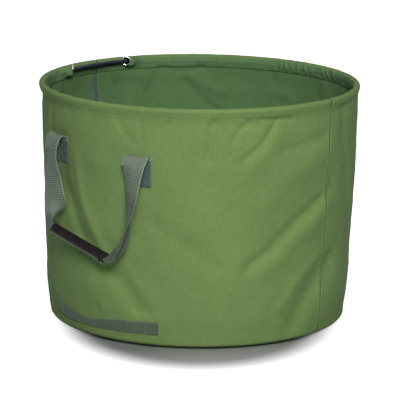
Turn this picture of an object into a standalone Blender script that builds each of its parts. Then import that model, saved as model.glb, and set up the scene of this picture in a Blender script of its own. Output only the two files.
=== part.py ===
"""Round garden waste bag with a hoop in its rim, two webbing carry handles and two tipping straps.

Metres, +Z up. The origin is the middle of the underside. The front handle is on -Y and the back
handle on +Y. Angles round the bag are degrees from -Y towards +X.
"""

import math

import bmesh
import bpy
import numpy as np
from mathutils import Vector

# Bag
HEIGHT = 0.490
RIM_RADIUS = 0.329
BASE_RADIUS = 0.3045
TAPER_POWER = 1.6
CLOTH = 0.0016
CORNER_RADIUS = 0.012
WALL_LEVELS = (0.10, 0.20, 0.30, 0.40, 0.452)
RIGHT_SEAM = 92.3
LEFT_SEAM = -97.0
ANGLE_STEP = 6.6
LEAST_STEP = 1.2
END_STEP = 0.8
GAP = 0.0003
SEWN_GAP = 0.0006
MITRE_LIMIT = 0.55

# Rim casing and the hoop tube inside it
HOOP_RADIUS = 0.327
HOOP_TUBE = 0.0094
HOOP_BORE = 0.0072
CASING_RADIUS = 0.0062
CASING_START = -38.0
CASING_END = 78.0
HOOP_Z = HEIGHT - CLOTH / 2 - CASING_RADIUS
PINCH_Z = 0.4665
PINCH_DEPTH = 0.0002
HEM_FACE_Z = 0.4700
HEM_BEND_Z = 0.4665
HEM_EDGE_Z = 0.4620
HEM_LEAN = 0.0004
HEM_GAP = 0.0005

# Where the hoop leaves its casing through two eyelets and its ends meet
EYELETS = (("eyelet_left", -80.4, -1), ("eyelet_right", -110.0, 1))
EXIT_OFFSET = 0.0156
EXIT_DROP = 0.0040
EXIT_START = -0.034
EXIT_END = 0.014
POCKET_START = -0.044
POCKET_TOP = -0.0095
POCKET_END = 0.0095
POCKET_DEPTH = 0.0126
POCKET_CORNER = 0.0018
POCKET_STATIONS = (POCKET_START, -0.034, -0.026, -0.019, -0.013, POCKET_TOP, 0.0, POCKET_END)
POCKET_LIMIT = 0.1
EYELET_RADIUS = 0.0100
EYELET_HOLE = 0.0073
EYELET_BARREL = 0.0079
EYELET_CUT = 0.0082
EYELET_CUT_AHEAD = 0.004
EYELET_CUT_BEHIND = 0.003
EYELET_DOME = 0.0011
EYELET_BEVEL = 0.0005
EYELET_SIDES = 28
TUBE_SIDES = 8
TUBE_STEP = 0.005
TUBE_LEAST_STEP = 0.5
TUBE_END_GAP = 0.0008
JOINER_LENGTH = 0.060
JOINER_DIAMETER = 0.0058

# Base and its seam
SEAM_RISE = 0.0045
SEAM_ALLOWANCE = 0.010
SEAM_INSET = 0.0006
SEAM_LEAN = 62.0
BINDING = 0.0010
BINDING_DEPTH = 0.0062
TAPE_WIDTH = 0.020
TAPE_GAP = 0.0009
TAPE_LOW = 0.022
TAPE_HIGH = 0.458

# Webbing handles: u runs along +X, w outwards from the bag
WEBBING = 0.050
WEBBING_THICKNESS = 0.0014
ANCHOR_ANGLE = 18.4
ANCHORS = (("left", -1, 0.351, 0.3943), ("right", 1, 0.329, 0.3833))
ANCHOR_RISE = 0.002
HINGE_U = 0.103
HINGE_W = 0.3265
HINGE_Z = 0.3995
HINGE_FALL = 0.0535
HINGE_CLEARANCE = 0.0022
GRIP_LEFT = Vector((-0.100, 0.341, 0.224))
GRIP_RIGHT = Vector((0.045, 0.345, 0.185))
GRIP_HEIGHT = 0.0274
GRIP_DEPTH = 0.0090
GRIP_WALL = 0.0012
GRIP_SLANT = 0.0060
GRIP_MOUTH = 0.003
GRIP_INSIDE = 0.004
FOLD_HALF = 0.0104
LEAF_GAP = 0.0008
FOLDED = 179.4
CREASE_INSIDE = 0.0022
CREASE_OUTSIDE = 0.0012
CLOSING_START = 90.0
CLOSING_TURN = 80.0
WEBBING_STEP = 0.011
WEBBING_STEPS = 3

# Tipping straps low on the wall
STRAP_CENTRE = -1.0
STRAP_SPAN = 52.0
STRAP_LOW = 0.0225
STRAP_HEIGHT = 0.025
STRAP_STEPS = 13

CANVAS = ((0.180, 0.274, 0.093), 0.86, 0.0)
BASE_CLOTH = ((0.120, 0.190, 0.062), 0.88, 0.0)
TAPE = ((0.150, 0.190, 0.150), 0.80, 0.0)
WEBBING_GREEN = ((0.190, 0.235, 0.185), 0.72, 0.0)
TUBE_BLACK = ((0.008, 0.012, 0.026), 0.45, 0.0)
GRIP_BROWN = ((0.026, 0.018, 0.021), 0.55, 0.0)
CHROME = ((0.80, 0.80, 0.80), 0.18, 1.0)


def clear_scene():
    for old in list(bpy.data.objects):
        bpy.data.objects.remove(old, do_unlink=True)


def material(name, look):
    """A Principled material of one colour, roughness and metallic value."""
    colour, roughness, metallic = look
    made = bpy.data.materials.new(name)
    made.use_nodes = True
    shader = made.node_tree.nodes["Principled BSDF"]
    shader.inputs["Base Color"].default_value = (*colour, 1.0)
    shader.inputs["Roughness"].default_value = roughness
    shader.inputs["Metallic"].default_value = metallic
    return made


def add_object(name, mesh, look, parent=None):
    """One named object with its own material, shaded smooth but for its sharp edges."""
    mesh.materials.clear()
    mesh.materials.append(material(name, look))
    mesh.shade_smooth()
    mesh.set_sharp_from_angle(angle=math.radians(35))
    obj = bpy.data.objects.new(name, mesh)
    bpy.context.scene.collection.objects.link(obj)
    obj.parent = parent
    return obj


def add_empty(name, location, turn=0.0, parent=None):
    empty = bpy.data.objects.new(name, None)
    bpy.context.scene.collection.objects.link(empty)
    empty.location = location
    empty.rotation_euler = (0.0, 0.0, turn)
    empty.parent = parent
    return empty


def mesh_from(points, faces):
    """A mesh with its faces turned outwards."""
    mesh = bpy.data.meshes.new("body")
    mesh.from_pydata([tuple(point) for point in points], [], faces)
    work = bmesh.new()
    work.from_mesh(mesh)
    bmesh.ops.recalc_face_normals(work, faces=work.faces)
    if work.calc_volume(signed=True) < 0:
        bmesh.ops.reverse_faces(work, faces=work.faces)
    work.to_mesh(mesh)
    work.free()
    return mesh


def loft(rings, closed=False, twisted=False):
    """A closed body through rings of equal count, capped at both ends unless it runs full circle.

    A twisted strap's quads aren't flat, so they are split along the same diagonal on both sides.
    """
    count = len(rings[0])
    points = [point for ring in rings for point in ring]
    faces = []
    for i in range(len(rings) if closed else len(rings) - 1):
        here = i * count
        there = ((i + 1) % len(rings)) * count
        for j in range(count):
            k = (j + 1) % count
            corners = (here + j, here + k, there + k, there + j)
            if not twisted:
                faces.append(corners)
                continue
            first = 0 if j < count // 2 else 1
            faces.append([corners[(first + n) % 4] for n in (0, 1, 2)])
            faces.append([corners[(first + n) % 4] for n in (0, 2, 3)])
    if not closed:
        faces.append(tuple(range(count)))
        faces.append(tuple(range(len(points) - count, len(points))))
    return mesh_from(points, faces)


def around(radius, angle, z):
    """The point at this radius, angle in degrees and height."""
    turn = math.radians(angle)
    return Vector((radius * math.sin(turn), -radius * math.cos(turn), z))


def smooth_step(x):
    x = min(max(x, 0.0), 1.0)
    return x * x * (3.0 - 2.0 * x)


def arc(centre, radius, start, end, steps):
    """Points of a round stretch in the (radius, height) plane, angles in degrees from outwards."""
    return [
        (
            centre[0] + radius * math.cos(math.radians(start + (end - start) * i / steps)),
            centre[1] + radius * math.sin(math.radians(start + (end - start) * i / steps)),
        )
        for i in range(steps + 1)
    ]


def ribbon(centre_line, thickness):
    """The closed outline of a cloth of this thickness that follows a centre line."""
    line = np.array(centre_line)
    steps = np.diff(line, axis=0)
    steps /= np.linalg.norm(steps, axis=1)[:, None]
    before = np.vstack([steps[:1], steps])
    after = np.vstack([steps, steps[-1:]])
    normals = np.stack([-(before + after)[:, 1], (before + after)[:, 0]], axis=1)
    normals /= np.linalg.norm(normals, axis=1)[:, None]
    across = np.stack([-before[:, 1], before[:, 0]], axis=1)
    mitre = np.clip((normals * across).sum(axis=1), MITRE_LIMIT, 1.0)
    offset = normals * (thickness / 2 / mitre)[:, None]
    return [tuple(p) for p in line + offset] + [tuple(p) for p in (line - offset)[::-1]]


def wall_radius(z):
    """Outer radius of the wall, which tapers towards the base."""
    fall = max(1.0 - z / HEIGHT, 0.0)
    return RIM_RADIUS - (RIM_RADIUS - BASE_RADIUS) * fall**TAPER_POWER


def wall_middle(z):
    return wall_radius(z) - CLOTH / 2


def from_eyelet(angle, eyelet):
    """Distance along the hoop from an eyelet, positive on the side where the hoop is bare."""
    _, place, bare_side = eyelet
    turn = (angle - place + 180.0) % 360.0 - 180.0
    return bare_side * math.radians(turn) * HOOP_RADIUS


def bare(angle):
    """0 where the hoop runs inside its casing, 1 where it is bare between the eyelets."""
    share = 1.0
    for eyelet in EYELETS:
        along = from_eyelet(angle, eyelet)
        share *= smooth_step((along - EXIT_START) / (EXIT_END - EXIT_START))
    return share


def hoop_point(angle):
    share = bare(angle)
    return around(HOOP_RADIUS - EXIT_OFFSET * share, angle, HOOP_Z - EXIT_DROP * share)


def pocket(angle):
    """How far the hem is drawn inwards at an eyelet, where the tube pulls it off the wall."""
    depth = 0.0
    for eyelet in EYELETS:
        along = from_eyelet(angle, eyelet)
        rise = smooth_step((along - POCKET_START) / (POCKET_TOP - POCKET_START))
        fall = (along - POCKET_TOP) / (POCKET_END - POCKET_TOP)
        if along < POCKET_LIMIT:
            depth += POCKET_DEPTH * (rise - min(max(fall, 0.0), 1.0))
    return depth


def wall_section(angle):
    """Centre line of the wall cloth: seam allowance, corner, wall, casing over the hoop, hem."""
    line = seam_leaf(1)
    line += corner_points()[1:]
    line += [(wall_middle(z), z) for z in WALL_LEVELS]
    line.append((wall_middle(PINCH_Z) - PINCH_DEPTH, PINCH_Z))
    line += arc((HOOP_RADIUS, HOOP_Z), CASING_RADIUS, CASING_START, CASING_END, 5)
    drawn = pocket(angle)
    share = min(drawn / (0.5 * POCKET_DEPTH), 1.0)
    corner = CASING_RADIUS + (POCKET_CORNER - CASING_RADIUS) * share
    inner = HOOP_RADIUS - CASING_RADIUS - drawn
    top = HOOP_Z + CASING_RADIUS - corner
    line += arc((inner + corner, top), corner, 90.0, 180.0, 3)
    line.append((inner, HEM_FACE_Z))
    edge = wall_middle(HEM_EDGE_Z) - CLOTH - HEM_GAP
    line.append((edge - HEM_LEAN, HEM_BEND_Z))
    line.append((edge, HEM_EDGE_Z))
    return line


def seam_point():
    """Where the base seam shows, low on the rounded corner."""
    centre = (wall_middle(CORNER_RADIUS) - CORNER_RADIUS, CORNER_RADIUS + CLOTH / 2)
    drop = (centre[1] - SEAM_RISE) / CORNER_RADIUS
    return centre, -math.degrees(math.asin(drop))


def corner_points():
    """The corner's rounding from the base seam up to the wall."""
    centre, start = seam_point()
    return arc(centre, CORNER_RADIUS, start, 0.0, 3)


def seam_leaf(side):
    """Seam allowance turned inwards: side 1 belongs to the wall, side -1 to the base."""
    centre, start = seam_point()
    at = arc(centre, CORNER_RADIUS, start, start, 1)[0]
    lean = math.radians(180.0 - SEAM_LEAN)
    inwards = np.array((math.cos(lean), math.sin(lean)))
    across = np.array((inwards[1], -inwards[0])) * side * (CLOTH + GAP) / 2
    foot = np.array(at) + across + inwards * SEAM_INSET
    return [tuple(foot + inwards * SEAM_ALLOWANCE), tuple(foot)]


def angle_stations(start, end):
    """Angles from start to end, closer together where a pocket changes the section."""
    count = math.ceil((end - start) / ANGLE_STEP)
    found = {round(start + (end - start) * i / count, 3) for i in range(count + 1)}
    for eyelet in EYELETS:
        for along in POCKET_STATIONS:
            turn = math.degrees(along / HOOP_RADIUS) * eyelet[2]
            for lap in (0.0, 360.0):
                place = round(eyelet[1] + turn + lap, 3)
                if start + END_STEP < place < end - END_STEP:
                    found = {a for a in found if abs(a - place) > LEAST_STEP or a in (start, end)}
                    found.add(place)
    return sorted(found)


def seam_gap():
    return math.degrees(GAP / 2 / BASE_RADIUS)


def panel_angles(start, end):
    stations = angle_stations(start, end)
    return [start + seam_gap()] + stations[1:-1] + [end - seam_gap()]


def ring_angles():
    """Every angle used by the two wall panels, once round the bag from the left seam."""
    front = angle_stations(LEFT_SEAM, RIGHT_SEAM)
    back = angle_stations(RIGHT_SEAM, LEFT_SEAM + 360.0)
    return front + back[1:-1]


def make_wall_panel(name, start, end):
    """Half of the wall in one cloth, turned over the hoop and sewn down as a hem inside."""
    rings = []
    for angle in panel_angles(start, end):
        outline = ribbon(wall_section(angle), CLOTH)
        rings.append([around(r, angle, z) for r, z in outline])
    return add_object(name, loft(rings), CANVAS)


def eyelet_frame(eyelet):
    """Centre, outward axis and level side of an eyelet, which lies on the slope of its pocket."""
    _, place, bare_side = eyelet
    centre_radius = HOOP_RADIUS - CASING_RADIUS - POCKET_DEPTH / 2
    centre = around(centre_radius, place, HOOP_Z - EXIT_DROP)
    inwards = -around(1.0, place, 0.0)
    along = around(1.0, place + 90.0 * bare_side, 0.0)
    run = (POCKET_END - POCKET_TOP) * centre_radius / HOOP_RADIUS
    slope = math.atan2(POCKET_DEPTH, run)
    axis = inwards * math.cos(slope) + along * math.sin(slope)
    side = along * math.cos(slope) - inwards * math.sin(slope)
    return centre, axis, side


def turned_about(centre, axis, side, profile, steps):
    """Rings of a profile of (radius, distance along the axis) turned about that axis."""
    up = axis.cross(side)
    rings = []
    for i in range(steps):
        turn = 2.0 * math.pi * i / steps
        out = side * math.cos(turn) + up * math.sin(turn)
        rings.append([centre + out * r + axis * a for r, a in profile])
    return rings


def cut_eyelet_hole(panel, eyelet):
    """A round hole for the eyelet's barrel, through the hem's inner layer only."""
    centre, axis, side = eyelet_frame(eyelet)
    profile = [(EYELET_CUT, EYELET_CUT_AHEAD), (EYELET_CUT, -EYELET_CUT_BEHIND)]
    rings = turned_about(centre, axis, side, profile, EYELET_SIDES)
    mesh = loft([[ring[0] for ring in rings], [ring[1] for ring in rings]])
    cutter = bpy.data.objects.new(eyelet[0] + "_cutter", mesh)
    bpy.context.scene.collection.objects.link(cutter)
    cutter.hide_render = True
    cutter.display_type = "WIRE"
    cut = panel.modifiers.new(eyelet[0], "BOOLEAN")
    cut.operation = "DIFFERENCE"
    cut.object = cutter


def make_eyelet(eyelet):
    """A pressed ring: a domed flange on the hem and a barrel through the cloth."""
    centre, axis, side = eyelet_frame(eyelet)
    face = CLOTH / 2 + GAP
    profile = [
        (EYELET_HOLE, -CLOTH / 2),
        (EYELET_HOLE, face + 0.3 * EYELET_DOME),
        (EYELET_HOLE + EYELET_BEVEL, face + 0.8 * EYELET_DOME),
        (EYELET_HOLE + 2.6 * EYELET_BEVEL, face + EYELET_DOME),
        (EYELET_RADIUS - 0.8 * EYELET_BEVEL, face + 0.5 * EYELET_DOME),
        (EYELET_RADIUS, face),
        (EYELET_BARREL, face),
        (EYELET_BARREL, -CLOTH / 2),
    ]
    rings = turned_about(centre, axis, side, profile, EYELET_SIDES)
    return add_object(eyelet[0], loft(rings, closed=True), CHROME)


def tube_ring(points, index, radius, sides):
    """The ring of a level tube at one of its points."""
    before = points[max(index - 1, 0)]
    after = points[min(index + 1, len(points) - 1)]
    along = (after - before).normalized()
    out = Vector((along.y, -along.x, 0.0)).normalized()
    up = out.cross(along)
    turns = [2.0 * math.pi * i / sides for i in range(sides)]
    return [points[index] + (out * math.cos(t) + up * math.sin(t)) * radius for t in turns]


def hoop_angles(start, end):
    """The panels' angles from start to end, measured onwards from the left seam."""
    turn = math.degrees(TUBE_STEP / HOOP_RADIUS)
    near = [eyelet[1] + step * turn for eyelet in EYELETS for step in (-1, 1)]
    laps = sorted(a + lap for a in ring_angles() + near for lap in (-360.0, 0.0, 360.0))
    kept = [start]
    for angle in laps:
        if angle - kept[-1] > TUBE_LEAST_STEP and end - angle > TUBE_LEAST_STEP:
            kept.append(angle)
    return kept + [end]


def make_hoop():
    """One plastic tube all round the rim, its two ends meeting between the eyelets."""
    middle = (EYELETS[0][1] + EYELETS[1][1]) / 2
    half_gap = math.degrees(TUBE_END_GAP / 2 / HOOP_RADIUS)
    points = [hoop_point(a) for a in hoop_angles(middle + half_gap, middle + 360.0 - half_gap)]
    indices = range(len(points))
    outside = [tube_ring(points, i, HOOP_TUBE / 2, TUBE_SIDES) for i in indices]
    inside = [tube_ring(points, i, HOOP_BORE / 2, TUBE_SIDES) for i in indices]
    return add_object("rim_hoop", loft(outside + inside[::-1], closed=True), TUBE_BLACK)


def make_joiner():
    """The plug pushed into both ends of the tube."""
    middle = (EYELETS[0][1] + EYELETS[1][1]) / 2
    half = math.degrees(JOINER_LENGTH / 2 / HOOP_RADIUS)
    points = [hoop_point(a) for a in hoop_angles(middle - half, middle + half)]
    rings = [tube_ring(points, i, JOINER_DIAMETER / 2, TUBE_SIDES) for i in range(len(points))]
    return add_object("hoop_joiner", loft(rings), TUBE_BLACK)


def base_profile():
    """Outline of the base cloth's edge, from its flat part to the seam allowance and back."""
    centre, start = seam_point()
    low = arc(centre, CORNER_RADIUS, -90.0, start, 2)
    low[0] = (low[0][0], CLOTH / 2)
    line = [(low[0][0] - CORNER_RADIUS, CLOTH / 2)] + low[:-1] + seam_leaf(-1)[::-1]
    return ribbon(line, CLOTH)


def make_base():
    """A round floor whose edge turns up into the seam."""
    outline = base_profile()
    angles = ring_angles()
    count = len(outline)
    points = [around(r, a, z) for a in angles for r, z in outline]
    faces = []
    for i in range(len(angles)):
        here = i * count
        there = ((i + 1) % len(angles)) * count
        faces += [(here + j, here + j + 1, there + j + 1, there + j) for j in range(count - 1)]
    faces.append(tuple(i * count for i in range(len(angles))))
    faces.append(tuple(i * count + count - 1 for i in range(len(angles))))
    return add_object("base_panel", mesh_from(points, faces), BASE_CLOTH)


def make_base_binding():
    """Tape folded over the seam allowance all round the inside of the base."""
    wall, base = seam_leaf(1), seam_leaf(-1)
    tip = (np.array(wall[0]) + np.array(base[0])) / 2
    inwards = tip - (np.array(wall[1]) + np.array(base[1])) / 2
    inwards /= np.linalg.norm(inwards)
    across = np.array((inwards[1], -inwards[0]))
    half = CLOTH + 2 * GAP + BINDING / 2
    over = tip + inwards * (GAP + BINDING / 2)
    line = [over + across * half - inwards * BINDING_DEPTH, over + across * half]
    line += [over - across * half, over - across * half - inwards * BINDING_DEPTH]
    outline = ribbon(line, BINDING)
    rings = [[around(r, a, z) for r, z in outline] for a in ring_angles()]
    return add_object("base_seam_binding", loft(rings, closed=True), TAPE)


def make_seam_binding(name, angle):
    """Tape sewn over a side seam inside, from above the base seam to below the hem."""
    half = math.degrees(TAPE_WIDTH / 2 / RIM_RADIUS)
    levels = (TAPE_LOW,) + WALL_LEVELS[:-1] + (TAPE_HIGH,)
    rings = []
    for z in levels:
        outer = wall_radius(z) - CLOTH - TAPE_GAP
        turns = (angle - half, angle, angle + half)
        near = [around(outer, a, z) for a in turns]
        far = [around(outer - BINDING, a, z) for a in turns]
        rings.append(near + far[::-1])
    return add_object(name, loft(rings), TAPE)


def strip_ring(centre, width, along, half_width, sag, thickness):
    """Section of a strap: three columns across, the middle one raised by sag."""
    normal = along.cross(width).normalized()
    columns = [(-half_width, -sag), (0.0, 0.0), (half_width, -sag)]
    near = [centre + width * x + normal * (y - thickness / 2) for x, y in columns]
    far = [centre + width * x + normal * (y + thickness / 2) for x, y in columns]
    return near + far[::-1]


def outwards_first(u, w, z):
    """A point given along the bag's front, outwards and up."""
    return Vector((u, -w, z))


def make_anchor_mesh(hand, low, high):
    """End of the webbing sewn to the wall, folded over at its top towards the hinge line."""
    wall_turn = hand * ANCHOR_ANGLE
    tangent = around(1.0, wall_turn + 90.0, 0.0)
    sag = WEBBING**2 / 8 / RIM_RADIUS
    seat = SEWN_GAP + WEBBING_THICKNESS / 2
    stations = [(wall_radius(z) + seat, z) for z in (low, (low + high) / 2, high)]
    hinge_radius = HINGE_W / math.cos(math.radians(ANCHOR_ANGLE))
    foot = stations[-1][0]
    crown = (hinge_radius - HINGE_CLEARANCE - foot) / 2
    stations += arc((foot + crown, high + ANCHOR_RISE), crown, 180.0, 45.0, 5)
    rings = []
    for i, (r, z) in enumerate(stations):
        before = stations[max(i - 1, 0)]
        after = stations[min(i + 1, len(stations) - 1)]
        rise = (after[0] - before[0], after[1] - before[1])
        along = (around(rise[0], wall_turn, 0.0) + Vector((0.0, 0.0, rise[1]))).normalized()
        share = smooth_step((i - 4) / (len(stations) - 5))
        width = tangent.lerp(Vector((1.0, 0.0, 0.0)), share).normalized()
        centre = around(r, wall_turn, z)
        ring_sag = sag * (1.0 - share)
        rings.append(strip_ring(centre, width, along, WEBBING / 2, -ring_sag, WEBBING_THICKNESS))
    return loft(rings, twisted=True)


def hinge_height(u):
    """The hinge line falls a little from the handle's left end to its right end."""
    return HINGE_Z - HINGE_FALL * u


def webbing_stations():
    """Route of the folded webbing: crease point, direction to the crease, opening angle.

    Each place is given as along the front, outwards and up. An opening of 0 is flat webbing
    and 180 would be folded double. The right half also turns edge-on before it enters the grip.
    """
    along = (GRIP_RIGHT - GRIP_LEFT).normalized()
    up = Vector((-along.z, 0.0, along.x))
    rise = up * FOLD_HALF
    top_left = hinge_height(-HINGE_U) - HINGE_CLEARANCE
    top_right = hinge_height(HINGE_U) - HINGE_CLEARANCE
    left = [
        ((-HINGE_U, HINGE_W, top_left), (1.0, 0.0, -HINGE_FALL), 0.0),
        ((-0.1060, 0.3315, 0.382), (0.93, 0.36, 0.0), 3.0),
        ((-0.1080, 0.3345, 0.350), (0.93, 0.36, 0.0), 6.0),
        ((-0.1035, 0.3365, 0.315), (0.98, 0.18, 0.0), 10.0),
        ((-0.0970, 0.3383, 0.277), (0.98, 0.04, 0.17), 28.0),
        ((-0.0965, 0.3400, 0.253), (0.80, 0.0, 0.60), 100.0),
        ((-0.0985, 0.3407, 0.2430), (0.60, 0.0, 0.80), 160.0),
        (tuple(GRIP_LEFT + rise - along * GRIP_MOUTH), tuple(up), FOLDED),
        (tuple(GRIP_LEFT + rise + along * GRIP_INSIDE), tuple(up), FOLDED),
    ]
    middle = (GRIP_LEFT + GRIP_RIGHT) / 2 + rise
    right = [
        (tuple(GRIP_RIGHT + rise - along * GRIP_INSIDE), tuple(up), FOLDED),
        (tuple(GRIP_RIGHT + rise + along * (GRIP_SLANT + GRIP_MOUTH)), tuple(up), FOLDED),
        ((0.0690, 0.3462, 0.2045), (-0.52, 0.40, 0.75), 172.0),
        ((0.0840, 0.3468, 0.2180), (-0.52, 0.74, 0.42), 168.0),
        ((0.0955, 0.3465, 0.2350), (-0.05, 0.99, 0.15), 164.0),
        ((0.1030, 0.3450, 0.2590), (0.58, 0.81, 0.0), 162.0),
        ((0.1025, 0.3440, 0.2800), (0.50, 0.86, 0.0), 157.0),
        ((0.1015, 0.3420, 0.3050), (0.22, 0.97, 0.0), 145.0),
        ((0.1010, 0.3385, 0.3350), (-0.10, 0.99, 0.0), 114.0),
        ((0.1025, 0.3335, 0.3620), (-0.60, 0.80, 0.0), 66.0),
        ((0.1045, 0.3295, 0.3800), (-0.94, 0.34, 0.0), 20.0),
        ((HINGE_U, HINGE_W, top_right), (-1.0, 0.0, HINGE_FALL), 0.0),
    ]
    return left + [(tuple(middle), tuple(up), FOLDED)] + right


def webbing_rows():
    """Stations and rows between them, with slopes by distance so that the curve never runs back."""
    stations = webbing_stations()
    table = np.array([(*place, *toward, opening) for place, toward, opening in stations])
    gaps = np.linalg.norm(np.diff(table[:, :3], axis=0), axis=1)
    slopes = np.gradient(table, np.concatenate([[0.0], np.cumsum(gaps)]), axis=0)
    rows = []
    for i, gap in enumerate(gaps):
        steps = min(max(math.ceil(gap / WEBBING_STEP), 2), WEBBING_STEPS)
        for t in np.arange(steps) / steps:
            cube, square = t**3, t**2
            start = table[i] * (2 * cube - 3 * square + 1) + slopes[i] * gap * (cube - 2 * square + t)
            end = table[i + 1] * (3 * square - 2 * cube) + slopes[i + 1] * gap * (cube - square)
            rows.append(start + end)
    return np.array(rows + [table[-1]])


def unit(vectors):
    return vectors / np.linalg.norm(vectors, axis=1)[:, None]


def webbing_rings():
    """Six points a row: both edges and the crease, on the outer and the inner side of the fold."""
    rows = webbing_rows()
    crease, turn = rows[:, :3], np.radians(rows[:, 6:7])
    along = unit(np.gradient(crease, axis=0))
    toward = unit(rows[:, 3:6] - along * (along * rows[:, 3:6]).sum(axis=1)[:, None])
    aside = np.cross(along, toward)
    folded = np.clip(rows[:, 6:7] / FOLDED, 0.0, 1.0)
    width = WEBBING / 2 + (2 * FOLD_HALF - WEBBING / 2) * folded
    closing = np.clip((rows[:, 6:7] - CLOSING_START) / CLOSING_TURN, 0.0, 1.0)
    spread = aside * LEAF_GAP * closing**2 * (3.0 - 2.0 * closing)
    second = toward * np.cos(turn) + aside * np.sin(turn)
    edge_a = crease - toward * width - spread
    edge_b = crease + second * width + spread
    half = WEBBING_THICKNESS / 2
    face_a = unit(np.cross(-toward, np.gradient(edge_a, axis=0))) * half
    face_b = unit(np.cross(np.gradient(edge_b, axis=0), second)) * half
    tip = unit(aside * (1.0 + np.cos(turn)) - toward * np.sin(turn))
    reach = half / np.maximum(np.cos(turn / 2), half / CREASE_INSIDE)
    outside = np.minimum(reach, CREASE_OUTSIDE)
    points = [edge_a - face_a, crease - tip * outside, edge_b - face_b]
    points += [edge_b + face_b, crease + tip * reach, edge_a + face_a]
    return np.stack(points, axis=1)


def make_webbing_mesh():
    """The carry strap in one length, flat at its ends and folded double through the grip."""
    pivot = outwards_first(0.0, HINGE_W, HINGE_Z)
    rings = [[outwards_first(*point) - pivot for point in ring] for ring in webbing_rings()]
    return loft(rings, twisted=True)


def make_grip_mesh():
    """A flattened sleeve round the folded webbing, open at both ends, the right one cut aslant."""
    pivot = outwards_first(0.0, HINGE_W, HINGE_Z)
    along = (GRIP_RIGHT - GRIP_LEFT).normalized()
    up = Vector((-along.z, 0.0, along.x))
    aside = Vector((0.0, 1.0, 0.0))
    outer, inner = [], []
    for share in (0.0, 0.25, 0.5, 0.75, 1.0):
        centre = GRIP_LEFT.lerp(GRIP_RIGHT, share)
        slant = GRIP_SLANT * 2.0 / GRIP_HEIGHT if share == 1.0 else 0.0
        for found, shrink in ((outer, 0.0), (inner, GRIP_WALL)):
            half_depth = GRIP_DEPTH / 2 - shrink
            straight = GRIP_HEIGHT / 2 - GRIP_DEPTH / 2
            ring = []
            for end in (1, -1):
                for turn in (-90, -45, 0, 45, 90):
                    angle = math.radians(turn)
                    rise = end * (straight + half_depth * math.cos(angle))
                    reach = end * half_depth * math.sin(angle)
                    ring.append(centre + (up + along * slant) * rise + aside * reach)
            found.append([outwards_first(*point) - pivot for point in ring])
    return loft(outer + inner[::-1], closed=True)


def make_strap_mesh():
    """Tipping strap sewn flat round the foot of the wall."""
    edges = [(wall_radius(z) + SEWN_GAP, z) for z in (STRAP_LOW, STRAP_LOW + STRAP_HEIGHT)]
    rings = []
    for i in range(STRAP_STEPS + 1):
        angle = STRAP_CENTRE + STRAP_SPAN * (i / STRAP_STEPS - 0.5)
        near = [around(radius, angle, z) for radius, z in edges]
        far = [around(radius + WEBBING_THICKNESS, angle, z) for radius, z in edges]
        rings.append(near + far[::-1])
    return loft(rings)


def make_side(name, turn):
    """Handle, its sewn ends and the tipping strap on one side of the bag."""
    frame = add_empty(name + "_side", (0.0, 0.0, 0.0), turn)
    pivot = add_empty(name + "_handle_hinge", outwards_first(0.0, HINGE_W, HINGE_Z), 0.0, frame)
    add_object(name + "_handle_webbing", make_webbing_mesh(), WEBBING_GREEN, pivot)
    add_object(name + "_handle_grip", make_grip_mesh(), GRIP_BROWN, pivot)
    for side, hand, low, high in ANCHORS:
        mesh = make_anchor_mesh(hand, low, high)
        add_object(f"{name}_handle_anchor_{side}", mesh, WEBBING_GREEN, frame)
    add_object(name + "_dump_strap", make_strap_mesh(), WEBBING_GREEN, frame)


def main():
    clear_scene()
    front = make_wall_panel("front_wall_panel", LEFT_SEAM, RIGHT_SEAM)
    back = make_wall_panel("back_wall_panel", RIGHT_SEAM, LEFT_SEAM + 360.0)
    cut_eyelet_hole(front, EYELETS[0])
    cut_eyelet_hole(back, EYELETS[1])
    for eyelet in EYELETS:
        make_eyelet(eyelet)
    make_hoop()
    make_joiner()
    make_base()
    make_base_binding()
    make_seam_binding("side_seam_binding_left", LEFT_SEAM)
    make_seam_binding("side_seam_binding_right", RIGHT_SEAM)
    make_side("front", 0.0)
    make_side("back", math.pi)


main()
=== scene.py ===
"""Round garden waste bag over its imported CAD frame: cloth, webbing, grips, hoop, eyelets, stitches.

Metres, +Z up. Angles round the bag are degrees from -Y towards +X, as in the CAD source.
"""

import math

import bpy
import numpy as np
from mathutils import Matrix, Vector


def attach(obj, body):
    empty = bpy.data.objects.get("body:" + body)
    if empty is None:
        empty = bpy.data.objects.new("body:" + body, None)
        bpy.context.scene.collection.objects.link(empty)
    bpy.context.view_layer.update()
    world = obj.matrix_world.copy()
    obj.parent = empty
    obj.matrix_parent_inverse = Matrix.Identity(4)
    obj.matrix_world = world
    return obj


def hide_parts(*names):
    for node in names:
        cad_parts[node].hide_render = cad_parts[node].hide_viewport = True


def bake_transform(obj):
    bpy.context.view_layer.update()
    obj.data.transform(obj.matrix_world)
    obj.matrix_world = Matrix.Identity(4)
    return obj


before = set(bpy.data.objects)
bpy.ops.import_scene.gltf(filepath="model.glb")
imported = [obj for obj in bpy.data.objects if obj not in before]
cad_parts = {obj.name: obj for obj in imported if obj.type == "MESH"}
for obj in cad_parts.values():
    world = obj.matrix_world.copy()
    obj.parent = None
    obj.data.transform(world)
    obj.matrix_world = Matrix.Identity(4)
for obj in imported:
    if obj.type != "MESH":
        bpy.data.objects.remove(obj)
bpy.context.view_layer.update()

MILLIMETRES = 1000.0

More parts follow.
